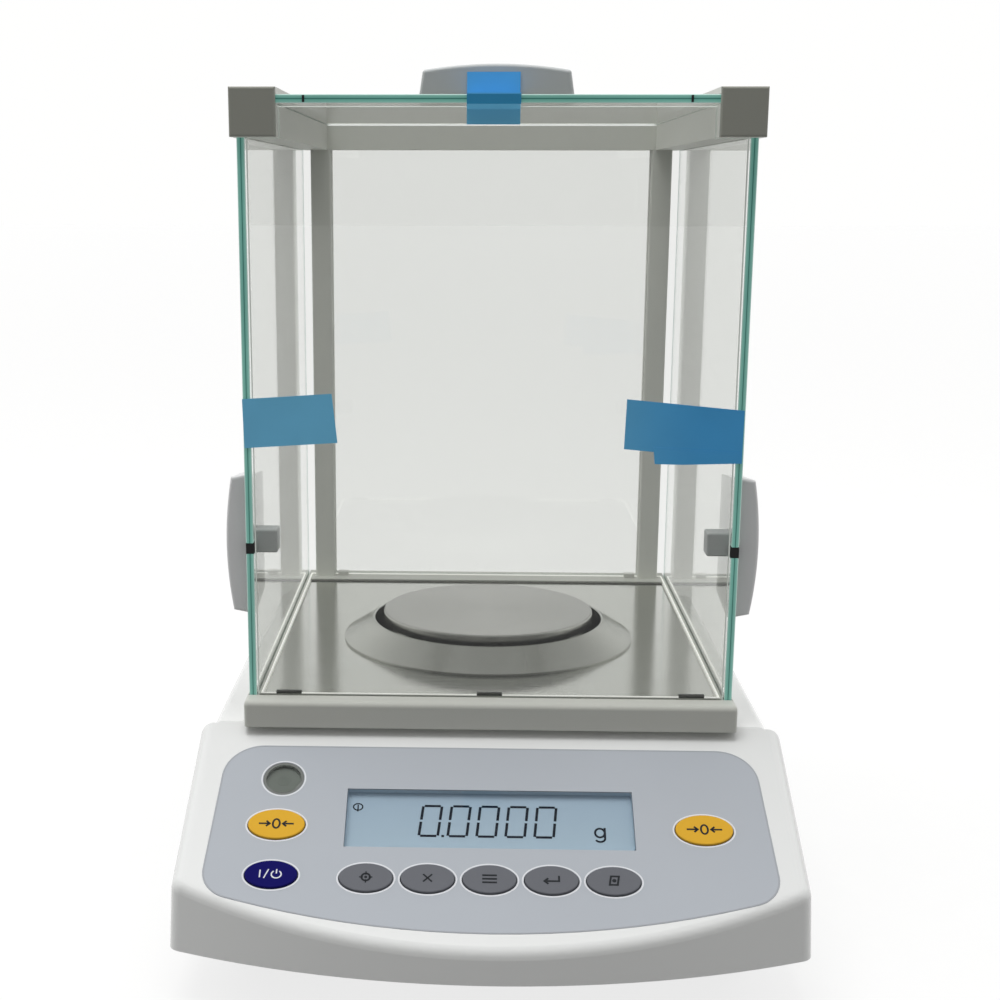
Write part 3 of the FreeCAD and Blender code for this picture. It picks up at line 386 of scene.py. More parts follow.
MATERIALS = {
    "white_housing": finish("white_housing", srgb(238, 239, 238), 0.22, coat=0.25, drift=0.03,
                            scale=140.0, strength=0.05, depth=0.0004),
    "cast_aluminium": finish("cast_aluminium", srgb(190, 191, 192), 0.5, metallic=1.0, drift=0.15,
                             scale=700.0, strength=0.35, depth=0.0003),
    "overlay_film": finish("overlay_film", srgb(182, 187, 194), 0.42, drift=0.03, scale=2600.0,
                           strength=0.12, depth=0.00008),
    "dark_plastic": finish("dark_plastic", srgb(30, 31, 32), 0.45, scale=1500.0, strength=0.15),
    "yellow_key": finish("yellow_key", srgb(228, 176, 52), 0.45, gloss=0.2, drift=0.06, scale=2200.0,
                         strength=0.1),
    "navy_key": finish("navy_key", srgb(12, 8, 94), 0.5, gloss=0.12, drift=0.08, scale=2200.0,
                       strength=0.08),
    "grey_key": finish("grey_key", srgb(110, 112, 118), 0.45, gloss=0.2, drift=0.08, scale=2200.0,
                       strength=0.1),
    "switch_dome": finish("switch_dome", srgb(205, 205, 200), 0.25, metallic=1.0),
    "circuit_board": finish("circuit_board", srgb(20, 92, 48), 0.35, drift=0.25, scale=500.0, strength=0.2),
    "level_cup": finish("level_cup", srgb(118, 121, 118), 0.4, scale=1800.0),
    "screw_steel": finish("screw_steel", srgb(196, 197, 198), 0.28, metallic=1.0, drift=0.15,
                          stretch=(1.0, 12.0, 1.0), strength=0.2),
    "black_rubber": finish("black_rubber", srgb(34, 34, 35), 0.75, drift=0.2, scale=1800.0, strength=0.3),
    "foot_screw": finish("foot_screw", srgb(120, 121, 124), 0.5, scale=1200.0, strength=0.2),
    "magnet_steel": finish("magnet_steel", srgb(170, 172, 175), 0.3, metallic=1.0, drift=0.12),
    "copper": finish("copper", srgb(196, 112, 70), 0.32, metallic=1.0, stretch=(1.0, 1.0, 40.0),
                     strength=0.6),
    "lever": finish("lever", srgb(200, 201, 203), 0.35, metallic=1.0, stretch=(12.0, 1.0, 1.0),
                    strength=0.25),
    "shield_grey": finish("shield_grey", srgb(202, 203, 196), 0.48, drift=0.05, scale=1500.0,
                          strength=0.16, depth=0.00015),
    # A paler copy of the shield's grey for the rear pillars and crossbar: painted light, because little light
    # reaches the inside of the shield.
    "pillar_painted_light_grey": finish("pillar_painted_light_grey", srgb(242, 243, 236), 0.48, drift=0.05, scale=1500.0,
                          strength=0.16, depth=0.00015),
    "grip_grey": finish("grip_grey", srgb(206, 210, 210), 0.46, drift=0.04, scale=2000.0, strength=0.14),
    # A paler copy of the grips' grey for the side grips: painted light on faces that look towards the dim front.
    "side_grip_painted_light_grey": finish("side_grip_painted_light_grey", srgb(238, 238, 239), 0.46, drift=0.04, scale=2000.0,
                             strength=0.14),
}
print("finishes:", len(MATERIALS))

# %% [markdown]
# ## Parts in two colours
# The top beams carry painted light and shade: a dark painted shade on their front ends,
# where they face the dim front, and a pale painted light on the rest, whose inner faces
# the tent hardly reaches. Of the clips that hold the glass, the front ones are dark and
# the rear ones are natural nylon. Both finishes mix two colours by where the point lies.

# %% Two-colour finishes
def two_tone(name, front_color, rear_color, edge, rough, **grain):
    """One colour in front of `edge` (a place along Y) and another behind it."""
    material, tree, shader, vector = new_material(name)
    axes = tree.nodes.new("ShaderNodeSeparateXYZ")
    blend = tree.nodes.new("ShaderNodeMix")
    blend.data_type = "RGBA"
    blend.inputs["A"].default_value = front_color
    blend.inputs["B"].default_value = rear_color
    behind = smooth_range(tree, axes.outputs["Y"], edge - 0.05 * MM, edge + 0.05 * MM)
    tone, _ = add_skin(tree, shader, vector, front_color, 0.05, rough, 0.03, grain)
    link(tree, (vector, axes.inputs[0]), (behind, blend.inputs["Factor"]),
         (blend.outputs["Result"], tone.inputs["Color"]))
    return material


beam_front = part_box("left_top_beam")[0].y
shaded_cap_depth = 2.0 * MM
# The beams' front colour is painted shade on their end faces, and the rear colour is painted light on their inner
# faces.
MATERIALS["beam_shade_and_light_grey"] = two_tone("beam_shade_and_light_grey", srgb(158, 159, 150), srgb(236, 237, 230),
                                  beam_front + shaded_cap_depth, 0.5, Scale=1500.0, Strength=0.16,
                                  Depth=0.00015)
MATERIALS["clip_plastic"] = two_tone("clip_plastic", srgb(52, 53, 53), srgb(222, 222, 216), 0.0, 0.45,
                                     Scale=1500.0, Strength=0.15, Depth=0.0001)

# %% [markdown]
# ## Stainless steel, brushed and spun
# The chamber's floor is brushed: its scratches run from side to side, so the noise is
# drawn out along X. The pan and the ring are turned on a lathe, so their scratches run
# round the middle of the pan. There the noise reads the distance from that middle and
# the height, which are the same all along one scratch.

# %% Stainless steel
pan_low, pan_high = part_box("weighing_pan")
pan_centre = ((pan_low.x + pan_high.x) / 2, (pan_low.y + pan_high.y) / 2)


def spun_steel(name, color, rough, strength):
    """Steel with fine scratches in circles round the pan's middle."""
    material, tree, shader, vector = new_material(name)
    shader.inputs["Anisotropic"].default_value = 0.3
    shader.inputs["Metallic"].default_value = 1.0
    centred = tree.nodes.new("ShaderNodeMapping")
    centred.inputs["Location"].default_value = (-pan_centre[0], -pan_centre[1], 0.0)
    axes = tree.nodes.new("ShaderNodeSeparateXYZ")
    circle = tree.nodes.new("ShaderNodeCombineXYZ")
    link(tree, (vector, centred.inputs["Vector"]), (centred.outputs[0], axes.inputs[0]))
    across = math_node(tree, "MULTIPLY", axes.outputs["X"], axes.outputs["X"])
    along = math_node(tree, "MULTIPLY", axes.outputs["Y"], axes.outputs["Y"])
    distance = math_node(tree, "SQRT", math_node(tree, "ADD", across, along))
    link(tree, (distance, circle.inputs["X"]), (axes.outputs["Z"], circle.inputs["Y"]))
    add_skin(tree, shader, circle.outputs[0], color, 0.05, rough, 0.02,
             dict(Scale=1800.0, Strength=strength, Depth=0.00004))
    return material


MATERIALS["satin_steel"] = finish("satin_steel", srgb(206, 207, 202), 0.15, metallic=1.0, drift=0.05,
                                  rough_spread=0.03, stretch=(0.03, 1.0, 1.0), scale=800.0,
                                  strength=0.004, depth=0.00004)
MATERIALS["ring_steel"] = spun_steel("ring_steel", srgb(190, 191, 186), 0.24, 0.02)
MATERIALS["pan_steel"] = spun_steel("pan_steel", srgb(180, 180, 176), 0.24, 0.012)
print("pan centre", pan_centre)

# %% [markdown]
# ## Clear glass and its polished edge
# Float glass is nearly clear through its faces, but green when you look into its edge,
# where light has travelled the whole length of the pane. A renderer would need dozens
# of bounces for that. So a pane has two finishes: clear faces, and an edge with painted
# light, whose colour runs across the thickness, lighter towards the arrises, with a
# painted dark line where the far arris would show, and which glows faintly.

# %% Glass finishes
def let_light_through(tree, shader):
    """Light on its way from a lamp passes clear glass straight, so that it doesn't cast a shadow."""
    path = tree.nodes.new("ShaderNodeLightPath")
    open_air = tree.nodes.new("ShaderNodeBsdfTransparent")
    open_air.inputs["Color"].default_value = (0.97, 0.975, 0.97, 1.0)
    either = tree.nodes.new("ShaderNodeMixShader")
    link(tree, (path.outputs["Is Shadow Ray"], either.inputs["Fac"]), (shader.outputs[0], either.inputs[1]),
         (open_air.outputs[0], either.inputs[2]),
         (either.outputs[0], tree.nodes["Material Output"].inputs["Surface"]))


def clear_glass(name, color, rough=0.0, ior=1.5):
    """Plain clear glass or acrylic."""
    material, tree, shader, vector = new_material(name)
    let_light_through(tree, shader)
    shader.inputs["Transmission Weight"].default_value = 1.0
    shader.inputs["IOR"].default_value = ior
    shader.inputs["Roughness"].default_value = rough
    tone = group_node(tree, TONE_DRIFT, Color=color, Drift=0.01, Scale=8.0)
    link(tree, (vector, tone.inputs["Vector"]), (tone.outputs["Color"], shader.inputs["Base Color"]))
    return material


def edge_glass(name, stops):
    """The ground edge of a pane, with painted light: lighter towards its arrises, a dark line inside, and a faint
    glow.
    """
    material, tree, shader, vector = new_material(name)
    shader.inputs["Roughness"].default_value = 0.18
    shader.inputs["Coat Weight"].default_value = 0.4
    # Emission in the edge's own colour: a painted glow.
    shader.inputs["Emission Strength"].default_value = 0.3
    across = tree.nodes.new("ShaderNodeUVMap")
    across.uv_map = "edge"
    axes = tree.nodes.new("ShaderNodeSeparateXYZ")
    ramp = tree.nodes.new("ShaderNodeValToRGB")
    for index, (position, color) in enumerate(stops):
        stop = ramp.color_ramp.elements[index] if index < 2 else ramp.color_ramp.elements.new(position)
        stop.position = position
        stop.color = color
    tone = group_node(tree, TONE_DRIFT, Drift=0.35, Scale=30.0)
    link(tree, (across.outputs["UV"], axes.inputs[0]), (axes.outputs["Y"], ramp.inputs["Fac"]),
         (vector, tone.inputs["Vector"]), (ramp.outputs["Color"], tone.inputs["Color"]),
         (tone.outputs["Color"], shader.inputs["Base Color"]),
         (tone.outputs["Color"], shader.inputs["Emission Color"]))
    return material


MATERIALS["clear_glass"] = clear_glass("clear_glass", (0.9, 0.907, 0.893, 1.0))
MATERIALS["display_lens"] = clear_glass("display_lens", (0.98, 0.985, 0.99, 1.0), rough=0.03, ior=1.3)
MATERIALS["level_lid"] = clear_glass("level_lid", (0.9, 0.92, 0.9, 1.0), rough=0.05, ior=1.3)
# The edges carry painted light: lighter arrises, a painted dark line in the moving panes, and a faint glow.
glass_edge_painted_light = edge_glass("glass_edge_painted_light", (
    (0.0, srgb(196, 226, 218)), (0.14, srgb(140, 200, 186)), (0.42, srgb(112, 182, 168)),
    (0.5, srgb(22, 84, 76)), (0.58, srgb(110, 178, 164)), (0.86, srgb(146, 204, 190)),
    (1.0, srgb(200, 228, 220))))
fixed_edge_painted_light = edge_glass("fixed_edge_painted_light", (
    (0.0, srgb(214, 220, 214)), (0.3, srgb(196, 204, 197)), (0.5, srgb(180, 190, 182)),
    (1.0, srgb(220, 224, 218))))

# %% [markdown]
# ## Display panel and transport tape
# The liquid crystal panel is a pale blue sheet with painted shade, darker towards its top
# edge under the window's upper wall, and a faint painted glow. The blue tapes hold the
# doors for transport. They are thin film, with painted light on the grip, painted shade
# where they cross the glass edge, a glow for the daylight they pass on from behind, and
# faint lines along them from the roll.

# %% Display and tape finishes
film_glow = 0.28            # daylight that a translucent film passes on from behind


def display_panel():
    """Pale blue panel with painted shade towards its top edge, a faint painted glow and the faintest grain."""
    material, tree, shader, vector = new_material("display_glass")
    low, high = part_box("lcd_panel")
    axes = tree.nodes.new("ShaderNodeSeparateXYZ")
    shade = tree.nodes.new("ShaderNodeMix")
    shade.data_type = "RGBA"
    # Painted shade: the panel is darker towards its top edge.
    shade.inputs["A"].default_value = srgb(172, 193, 207)
    shade.inputs["B"].default_value = srgb(164, 185, 202)
    skin = group_node(tree, FINE_GRAIN, Scale=3000.0, Strength=0.05)
    link(tree, (vector, axes.inputs[0]), (vector, skin.inputs["Vector"]))
    painted_shade_upward = smooth_range(tree, axes.outputs["Z"], low.z, high.z)
    link(tree, (painted_shade_upward, shade.inputs["Factor"]), (shade.outputs["Result"], shader.inputs["Base Color"]),
         (skin.outputs["Normal"], shader.inputs["Normal"]),
         (shade.outputs["Result"], shader.inputs["Emission Color"]))
    # A faint painted glow.
    shader.inputs["Emission Strength"].default_value = 0.08
    shader.inputs["Roughness"].default_value = 0.35
    return material


def blue_film():
    """Glossy blue film with painted light above the top door's edge, painted shade where it crosses that edge and
    a glow for the daylight it passes on; it is also darker towards the right.
    """
    material, tree, shader, vector = new_material("blue_film")
    low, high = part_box("top_door_pane")
    axes = tree.nodes.new("ShaderNodeSeparateXYZ")
    link(tree, (vector, axes.inputs[0]))
    # Painted light on the grip above the glass, and painted shade where the film crosses the glass edge.
    above = smooth_range(tree, axes.outputs["Z"], high.z - 0.1 * MM, high.z + 0.2 * MM)
    below = smooth_range(tree, axes.outputs["Z"], low.z - 0.5 * MM, low.z - 0.2 * MM)
    edge_shade_mask = math_node(tree, "SUBTRACT", below, above, clamp=True)
    upper = tree.nodes.new("ShaderNodeMix")
    upper.data_type = "RGBA"
    upper.inputs["B"].default_value = srgb(80, 164, 222)
    sides = tree.nodes.new("ShaderNodeMix")
    sides.data_type = "RGBA"
    sides.inputs["A"].default_value = srgb(92, 162, 196)
    sides.inputs["B"].default_value = srgb(52, 136, 188)
    rightward = smooth_range(tree, axes.outputs["X"], 20 * MM, 80 * MM)
    dark = tree.nodes.new("ShaderNodeMix")
    dark.data_type = "RGBA"
    dark.inputs["B"].default_value = srgb(40, 122, 164)
    tone = group_node(tree, TONE_DRIFT, Drift=0.16, Scale=60.0)
    skin = group_node(tree, FINE_GRAIN, Stretch=(0.05, 1.0, 1.0), Scale=900.0, Strength=0.25)
    link(tree, (rightward, sides.inputs["Factor"]), (sides.outputs["Result"], upper.inputs["A"]),
         (above, upper.inputs["Factor"]), (upper.outputs["Result"], dark.inputs["A"]),
         (edge_shade_mask, dark.inputs["Factor"]), (dark.outputs["Result"], tone.inputs["Color"]),
         (vector, tone.inputs["Vector"]), (vector, skin.inputs["Vector"]),
         (tone.outputs["Color"], shader.inputs["Base Color"]),
         (skin.outputs["Normal"], shader.inputs["Normal"]),
         (tone.outputs["Color"], shader.inputs["Emission Color"]))
    shader.inputs["Emission Strength"].default_value = film_glow
    shader.inputs["Roughness"].default_value = 0.3
    shader.inputs["Coat Weight"].default_value = 0.3
    return material


MATERIALS["display_glass"] = display_panel()
MATERIALS["blue_film"] = blue_film()
ink_dark = finish("ink_dark", srgb(20, 24, 30), 0.5, scale=3000.0)
ink_white = finish("ink_white", srgb(225, 226, 232), 0.5, scale=3000.0)
ink_display = finish("ink_display", srgb(6, 16, 34), 0.5, gloss=0.1, scale=3000.0)
ink_line = finish("ink_line", srgb(172, 175, 181), 0.5, scale=3000.0)
ink_pale = finish("ink_pale", srgb(232, 234, 238), 0.45, scale=3000.0)

# %% [markdown]
# ## Finishes go onto the frame
# The record says which slot each node takes. A node keeps its mesh, and only its
# material changes.

# %% Dress the frame's nodes
slot_of = {part["node"]: part["material_slot"] for part in record["subparts"]}
special = {"weighing_pan": "pan_steel", "pan_support": "pan_steel", "left_top_beam": "beam_shade_and_light_grey",
           "right_top_beam": "beam_shade_and_light_grey", "pane_clips": "clip_plastic", "rear_pillars": "pillar_painted_light_grey",
           "rear_crossbar": "pillar_painted_light_grey"}
for node, slot in slot_of.items():
    finish_name = special.get(node, slot)
    nodes[node].data.materials.clear()
    nodes[node].data.materials.append(MATERIALS[finish_name])
print("dressed", len(slot_of), "nodes")

# %% [markdown]
# ## Glass panes
# Each pane is cut from a sheet, so it is an outline carried through the thickness. Two
# small bevels, the arrises, take the sharpness off. The outline has square corners
# only, so it is moved inwards by adding each point's two inward edge normals. The
# faces of the rim get the edge finish and the two broad faces the clear one.

# %% Glass panes
arris = 0.3 * MM


def inset_outline(outline, distance):
    """Moves a square-cornered, counterclockwise outline inwards by a distance."""
    forward = np.roll(outline, -1, axis=0) - outline
    forward = forward / np.linalg.norm(forward, axis=1, keepdims=True)
    inward = np.stack([-forward[:, 1], forward[:, 0]], axis=1)
    return outline + distance * (inward + np.roll(inward, 1, axis=0))


relief = 0.03 * MM


def glass_pane(node, body, outline, axis, edge=glass_edge_painted_light):
    """A pane from its outline in the two axes other than `axis`, through the node's thickness."""
    low, high = (np.array(corner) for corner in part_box(node))
    outline = np.asarray(outline, float)
    others = [k for k in range(3) if k != axis]
    if axis == 1:
        outline = outline[::-1]
    depths = np.array([low[axis] + relief, low[axis] + arris, high[axis] - arris, high[axis] - relief])
    insets = (arris, 0.0, 0.0, arris)
    count = len(outline)
    area = np.cross(outline, np.roll(outline, -1, axis=0)).sum()
    rings = []
    for depth, inset in zip(depths, insets):
        ring = np.empty((count, 3))
        ring[:, others] = inset_outline(outline, inset if area > 0 else -inset)
        ring[:, axis] = depth
        rings.append(ring)
    points = np.concatenate(rings)
    rim = grid_faces(4, count, wrap_columns=True)
    caps = [list(range(count))[::-1], list(range(3 * count, 4 * count))]
    if axis == 1:
        rim = [face[::-1] for face in rim] if area > 0 else rim
        caps = [face[::-1] for face in caps] if area > 0 else caps
    piece = make_piece(f"glass_{node}", points, rim + caps, [MATERIALS["clear_glass"], edge],
                       [1] * len(rim) + [0, 0])
    across = np.repeat((0.0, 0.1, 0.9, 1.0), count)
    corners = np.empty(len(piece.data.loops), np.int32)
    piece.data.loops.foreach_get("vertex_index", corners)
    edge_map = piece.data.uv_layers.new(name="edge")
    edge_map.data.foreach_set("uv", np.stack([np.zeros(len(corners)), across[corners]], 1).ravel())
    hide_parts(node)
    return finish_piece(piece, body)


def rectangle(low, high, axis):
    """Outline of a box's face, square to one axis."""
    a, b = [k for k in range(3) if k != axis]
    return [(low[a], low[b]), (high[a], low[b]), (high[a], high[b]), (low[a], high[b])]


def stepped_outline(node):
    """Upright pane whose top is narrower, where it passes between the beams."""
    low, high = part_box(node)
    points = node_points(node)
    neck = points[points[:, 2] > high.z - 1.5 * arris][:, 0].max() + arris
    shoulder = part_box("left_top_beam")[0].z - 0.1 * MM
    return [(low.x, low.z), (high.x, low.z), (high.x, shoulder), (neck, shoulder), (neck, high.z),
            (-neck, high.z), (-neck, shoulder), (low.x, shoulder)]


def notched_outline(side):
    """Side door: a rectangle with a notch in its front edge for the bush."""
    low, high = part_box(f"{side}_door_pane")
    bush_low, bush_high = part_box(f"{side}_door_bush")
    room = 0.1 * MM
    inside = bush_high.y + room
    return [(low.y, low.z), (high.y, low.z), (high.y, high.z), (low.y, high.z),
            (low.y, bush_high.z + room), (inside, bush_high.z + room), (inside, bush_low.z - room),
            (low.y, bush_low.z - room)]


for pane_node in ("front_pane", "rear_pane"):
    glass_pane(pane_node, "root", stepped_outline(pane_node), 1, fixed_edge_painted_light)
for side in ("left", "right"):
    glass_pane(f"{side}_door_pane", f"{side}_door", notched_outline(side), 0)
glass_pane("top_door_pane", "top_door", rectangle(*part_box("top_door_pane"), 2), 2)
print("glass panes: 5")

# %% [markdown]
# ## Grips of the side doors
# Each side door is pushed by a moulded grip on its outer face. Its section is a low
# arch between two leaning ends, and it grows a little shorter towards the back. The
# frame's own grips stand further off the glass, so these replace them. The section is
# carried back along the door in rings, and the first and last rings follow a quarter
# circle, which rounds the front and back edges.

# %% Side door grips
side_grip_rise = 8.3 * MM
side_grip_shoulder = 6.0 * MM
side_grip_lean = 1.2 * MM
side_grip_taper = 3.6 * MM
side_grip_edge = 1.2 * MM
side_grip_short = 0.5 * MM          # each half is this much shorter than the frame's grip


def faced_outwards(points, faces):
    """The same faces, all turned round if the shell they close has a negative volume."""
    volume = sum(points[face[0]] @ np.cross(points[face], np.roll(points[face], -1, axis=0)).sum(axis=0)
                 for face in faces)
    return faces if volume > 0 else [face[::-1] for face in faces]


def side_grip(side, steps=24):
    """Arch section (along Z, out from the glass) carried along Y, shorter towards the back."""
    node = f"{side}_door_grip"
    low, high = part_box(node)
    sign, glass_face = (1, low.x) if side == "right" else (-1, high.x)
    half = (high.z - low.z) / 2 - side_grip_short
    middle = high.z - half
    place = np.linspace(-1.0, 1.0, steps)
    arch = np.column_stack([place * (half - side_grip_lean),
                            side_grip_rise - (side_grip_rise - side_grip_shoulder) * place ** 2])
    section = np.concatenate([[(-half, 0.0)], arch, [(half, 0.0)]])
    turn = np.linspace(0.0, math.pi / 2, 5)
    back_in = side_grip_edge * (1 - np.cos(turn))
    inset = side_grip_edge * (1 - np.sin(turn))
    places = np.concatenate([low.y + back_in, high.y - back_in[::-1]])
    insets = np.concatenate([inset, inset[::-1]])
    rings = []
    for y, inwards in zip(places, insets):
        shorter = side_grip_taper * (y - low.y) / (high.y - low.y) + inwards
        z = section[:, 0] * (1 - shorter / half)
        out = section[:, 1] * (1 - inwards / side_grip_rise)
        rings.append(np.column_stack([glass_face + sign * out, np.full(len(z), y), middle + z]))
    points = np.concatenate(rings)
    count = len(section)
    last = len(points)
    faces = grid_faces(len(rings), count, wrap_columns=True)
    faces += [list(range(count))[::-1], list(range(last - count, last))]
    grip = make_piece(f"{side}_side_grip", points, faced_outwards(points, faces),
                      [MATERIALS["side_grip_painted_light_grey"]])
    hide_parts(node)
    return finish_piece(grip, f"{side}_door")


for side in ("left", "right"):
    side_grip(side)
print("side grips: 2")

# %% [markdown]
# ## Printing on the sloping panel
# Print is a thin layer of ink, so a stroke is a ribbon: a flat line of even width,
# a twentieth of a millimetre high. The ribbon's points are given in the panel's own
# axes: across, up the slope and out of it. The slope's direction is read from the
# keys' own joint, because a key travels square to the panel.

# %% Panel axes and ribbons
key_axis = next(joint["axis"] for joint in frame["joints"] if joint["name"] == "key_mode_press")
panel_out = -np.array(key_axis) / np.linalg.norm(key_axis)
panel_up = np.cross(panel_out, (1.0, 0.0, 0.0))
ink_height = 0.05 * MM


def from_panel(points):
    """Points given as (across, up the slope, outwards) in the frame's axes."""
    points = np.asarray(points, float)
    return (points[:, :1] * np.array([1.0, 0.0, 0.0]) + points[:, 1:2] * panel_up
            + points[:, 2:3] * panel_out)


def face_centre(node):
    """Middle of a node's outward face in panel axes: across, up, out."""
    points = node_points(node)
    out = points @ panel_out
    top = points[out > out.max() - 0.05 * MM]
    up = top @ panel_up
    return np.array([(top[:, 0].min() + top[:, 0].max()) / 2, (up.min() + up.max()) / 2, out.max()])


def ribbon(path, width, closed=False):
    """A flat ribbon along a path of (across, up) points, as points and faces. At each point
    the side offset is the mitre of the two neighbouring directions."""
    path = np.asarray(path, float)
    ahead = np.roll(path, -1, axis=0) - path
    if not closed:
        ahead[-1] = ahead[-2]
    ahead = ahead / np.linalg.norm(ahead, axis=1, keepdims=True)
    behind = np.roll(ahead, 1, axis=0)
    if not closed:
        behind[0] = ahead[0]
    side = np.stack([-(ahead + behind)[:, 1], (ahead + behind)[:, 0]], axis=1)
    side = side / np.linalg.norm(side, axis=1, keepdims=True)
    square = np.stack([-ahead[:, 1], ahead[:, 0]], axis=1)
    stretch = 1.0 / np.maximum((side * square).sum(1, keepdims=True), 0.4)
    left, right = path + side * stretch * width / 2, path - side * stretch * width / 2
    low, high = np.zeros((len(path), 1)), np.full((len(path), 1), ink_height)
    section = np.stack([np.hstack([left, low]), np.hstack([right, low]), np.hstack([right, high]),
                        np.hstack([left, high])], axis=1)
    faces = grid_faces(len(path), 4, wrap_rows=closed, wrap_columns=True)
    if not closed:
        last = 4 * (len(path) - 1)
        faces += [[0, 1, 2, 3][::-1], [last, last + 1, last + 2, last + 3]]
    return section.reshape(-1, 3), [face[::-1] for face in faces]


def arc(centre, radius_x, radius_y, start, end, steps=40):
    """Points along part of an ellipse, from start to end in degrees."""
    angle = np.radians(np.linspace(start, end, steps))
    return np.stack([centre[0] + radius_x * np.cos(angle), centre[1] + radius_y * np.sin(angle)], axis=1)


def ring_path(centre, radius_x, radius_y, steps=72):
    """A whole ellipse as a closed path."""
    return arc(centre, radius_x, radius_y, 0.0, 360.0 * (steps - 1) / steps, steps)


def print_strokes(name, body, material, anchor, strokes):
    """One printed piece: every stroke is (path in mm, width in mm, closed)."""
    points, faces, count = [], [], 0
    for path, width, closed in strokes:
        part, quads = ribbon(np.asarray(path, float) * MM, width * MM, closed)
        points.append(part)
        faces += [[index + count for index in quad] for quad in quads]
        count += len(part)
    piece = make_piece(name, from_panel(np.concatenate(points) + anchor), faces, [material])
    return finish_piece(piece, body)


# %% [markdown]
# ## Key symbols
# The symbols are the plain ones that any instrument may carry: arrows that close on a
# nought for zeroing, the stand-by sign for power, a target for calibration, a cross for
# clearing, three lines for the menu, a turned arrow for enter and a sheet for printing.
# Each one rides on its key, so that it goes down with it.

# %% Key symbols
pen = 0.7


def arrow_head(tip, reach, spread, sign):
    """Two short strokes that meet at the tip, opening towards -sign along X."""
    return [(tip[0] - sign * reach, tip[1] + spread), tip, (tip[0] - sign * reach, tip[1] - spread)]


zero_sign = [(ring_path((0.0, 0.0), 1.25, 2.0), pen, True),
             ([(-6.4, 0.0), (-2.6, 0.0)], pen, False), (arrow_head((-2.4, 0.0), 1.3, 1.2, 1), pen, False),
             ([(6.4, 0.0), (2.6, 0.0)], pen, False), (arrow_head((2.4, 0.0), 1.3, 1.2, -1), pen, False)]
power_sign = [([(-3.9, -1.6), (-3.9, 1.6)], 0.5, False), ([(-2.4, -1.9), (-0.9, 1.9)], 0.45, False),
              (arc((2.0, -0.2), 1.75, 1.6, 125.0, 415.0), 0.5, False), ([(2.0, 0.1), (2.0, 2.0)], 0.5, False)]
target_sign = [(ring_path((0.0, 0.0), 1.5, 1.5), pen, True), (ring_path((0.0, 0.0), 0.3, 0.3), 0.5, True)]
target_sign += [([(x, y), (2.4 * x, 2.4 * y)], 0.45, False)
                for x, y in ((1.0, 0.0), (0.0, 1.0), (-1.0, 0.0), (0.0, -1.0))]
cross_sign = [([(-1.6, -1.6), (1.6, 1.6)], 0.6, False), ([(-1.6, 1.6), (1.6, -1.6)], 0.6, False)]
menu_sign = [([(-2.6, level), (2.6, level)], pen, False) for level in (-1.5, 0.0, 1.5)]
enter_sign = [([(2.6, 1.7), (2.6, -0.6), (-1.9, -0.6)], pen, False),
              (arrow_head((-2.6, -0.6), 1.4, 1.2, -1), pen, False)]
sheet_sign = [([(-1.6, -1.8), (1.2, -1.8), (1.8, 1.8), (-1.0, 1.8)], pen, True),
              (ring_path((0.1, 0.0), 0.4, 0.4), 0.7, True)]
KEY_SIGNS = {"key_tare_left": zero_sign, "key_tare_right": zero_sign, "key_power": power_sign,
             "key_calibrate": target_sign, "key_clear": cross_sign, "key_mode": menu_sign,
             "key_enter": enter_sign, "key_print": sheet_sign}
for key, strokes in KEY_SIGNS.items():
    ink = ink_white if key == "key_power" else ink_dark
    print_strokes(f"sign_{key}", key, ink, face_centre(key), strokes)
print("signs:", len(KEY_SIGNS))

# %% [markdown]
# ## Lines printed on the overlay
# A hairline follows the film's edge, and a pale halo is left round every key and round
# the level. The edge line repeats the film's own outline, inset a little: a straight
# top, leaning sides, a curved lower edge and four round corners. It is read from the rim
# of the film's outward face, spaced evenly and moved inwards along its normals.

# %% Overlay lines
overlay_points = node_points("control_overlay")
overlay_out = (overlay_points @ panel_out).max()
overlay_rise = overlay_points @ panel_up
overlay_top = overlay_rise.max()
overlay_foot = overlay_rise.min()
halo_gap = 0.55


def halo(node, grow):
    """Closed ellipse round a node's face, in mm from the panel axes' origin."""
    points = node_points(node)
    out = points @ panel_out
    top = points[out > out.max() - 0.3 * MM]
    up = top @ panel_up
    centre = ((top[:, 0].min() + top[:, 0].max()) / 2 / MM, (up.min() + up.max()) / 2 / MM)
    return ring_path(centre, np.ptp(top[:, 0]) / 2 / MM + grow, np.ptp(up) / 2 / MM + grow)


halos = [(halo(key, halo_gap + 0.2), halo_gap, True) for key in KEY_SIGNS]
halos.append((halo("level_cup", halo_gap), halo_gap, True))
print_strokes("key_halos", "root", ink_pale, np.array([0.0, 0.0, overlay_out]), halos)


def outer_rim(node):
    """The rim of a node's outward face, in mm across and up, as one closed loop. An edge that
    only one triangle of the face uses lies on a rim, and the longest rim is the outer one."""
    mesh = nodes[node].data
    mesh.calc_loop_triangles()
    corners = np.empty(len(mesh.loop_triangles) * 3, np.int32)
    mesh.loop_triangles.foreach_get("vertices", corners)
    points = node_points(node)
    flat = np.stack([points[:, 0], points @ panel_up], 1) / MM
    keys = [tuple(pair) for pair in flat.round(3)]
    top = (points @ panel_out) > (points @ panel_out).max() - 0.02 * MM
    follows = {}
    for triangle in corners.reshape(-1, 3):
        if top[triangle].all():
            a, b, c = (keys[index] for index in triangle)
            for start, end in ((a, b), (b, c), (c, a)):
                if follows.get(end) and start in follows[end]:
                    follows[end].remove(start)
                else:
                    follows.setdefault(start, []).append(end)
    loops = []
    while any(follows.values()):
        start = next(key for key, ends in follows.items() if ends)
        loop, here = [start], follows[start].pop()
        while here != start and follows.get(here):
            loop.append(here)
            here = follows[here].pop()
        loops.append(loop)
    return np.array(max(loops, key=lambda loop: np.ptp([point[0] for point in loop])))


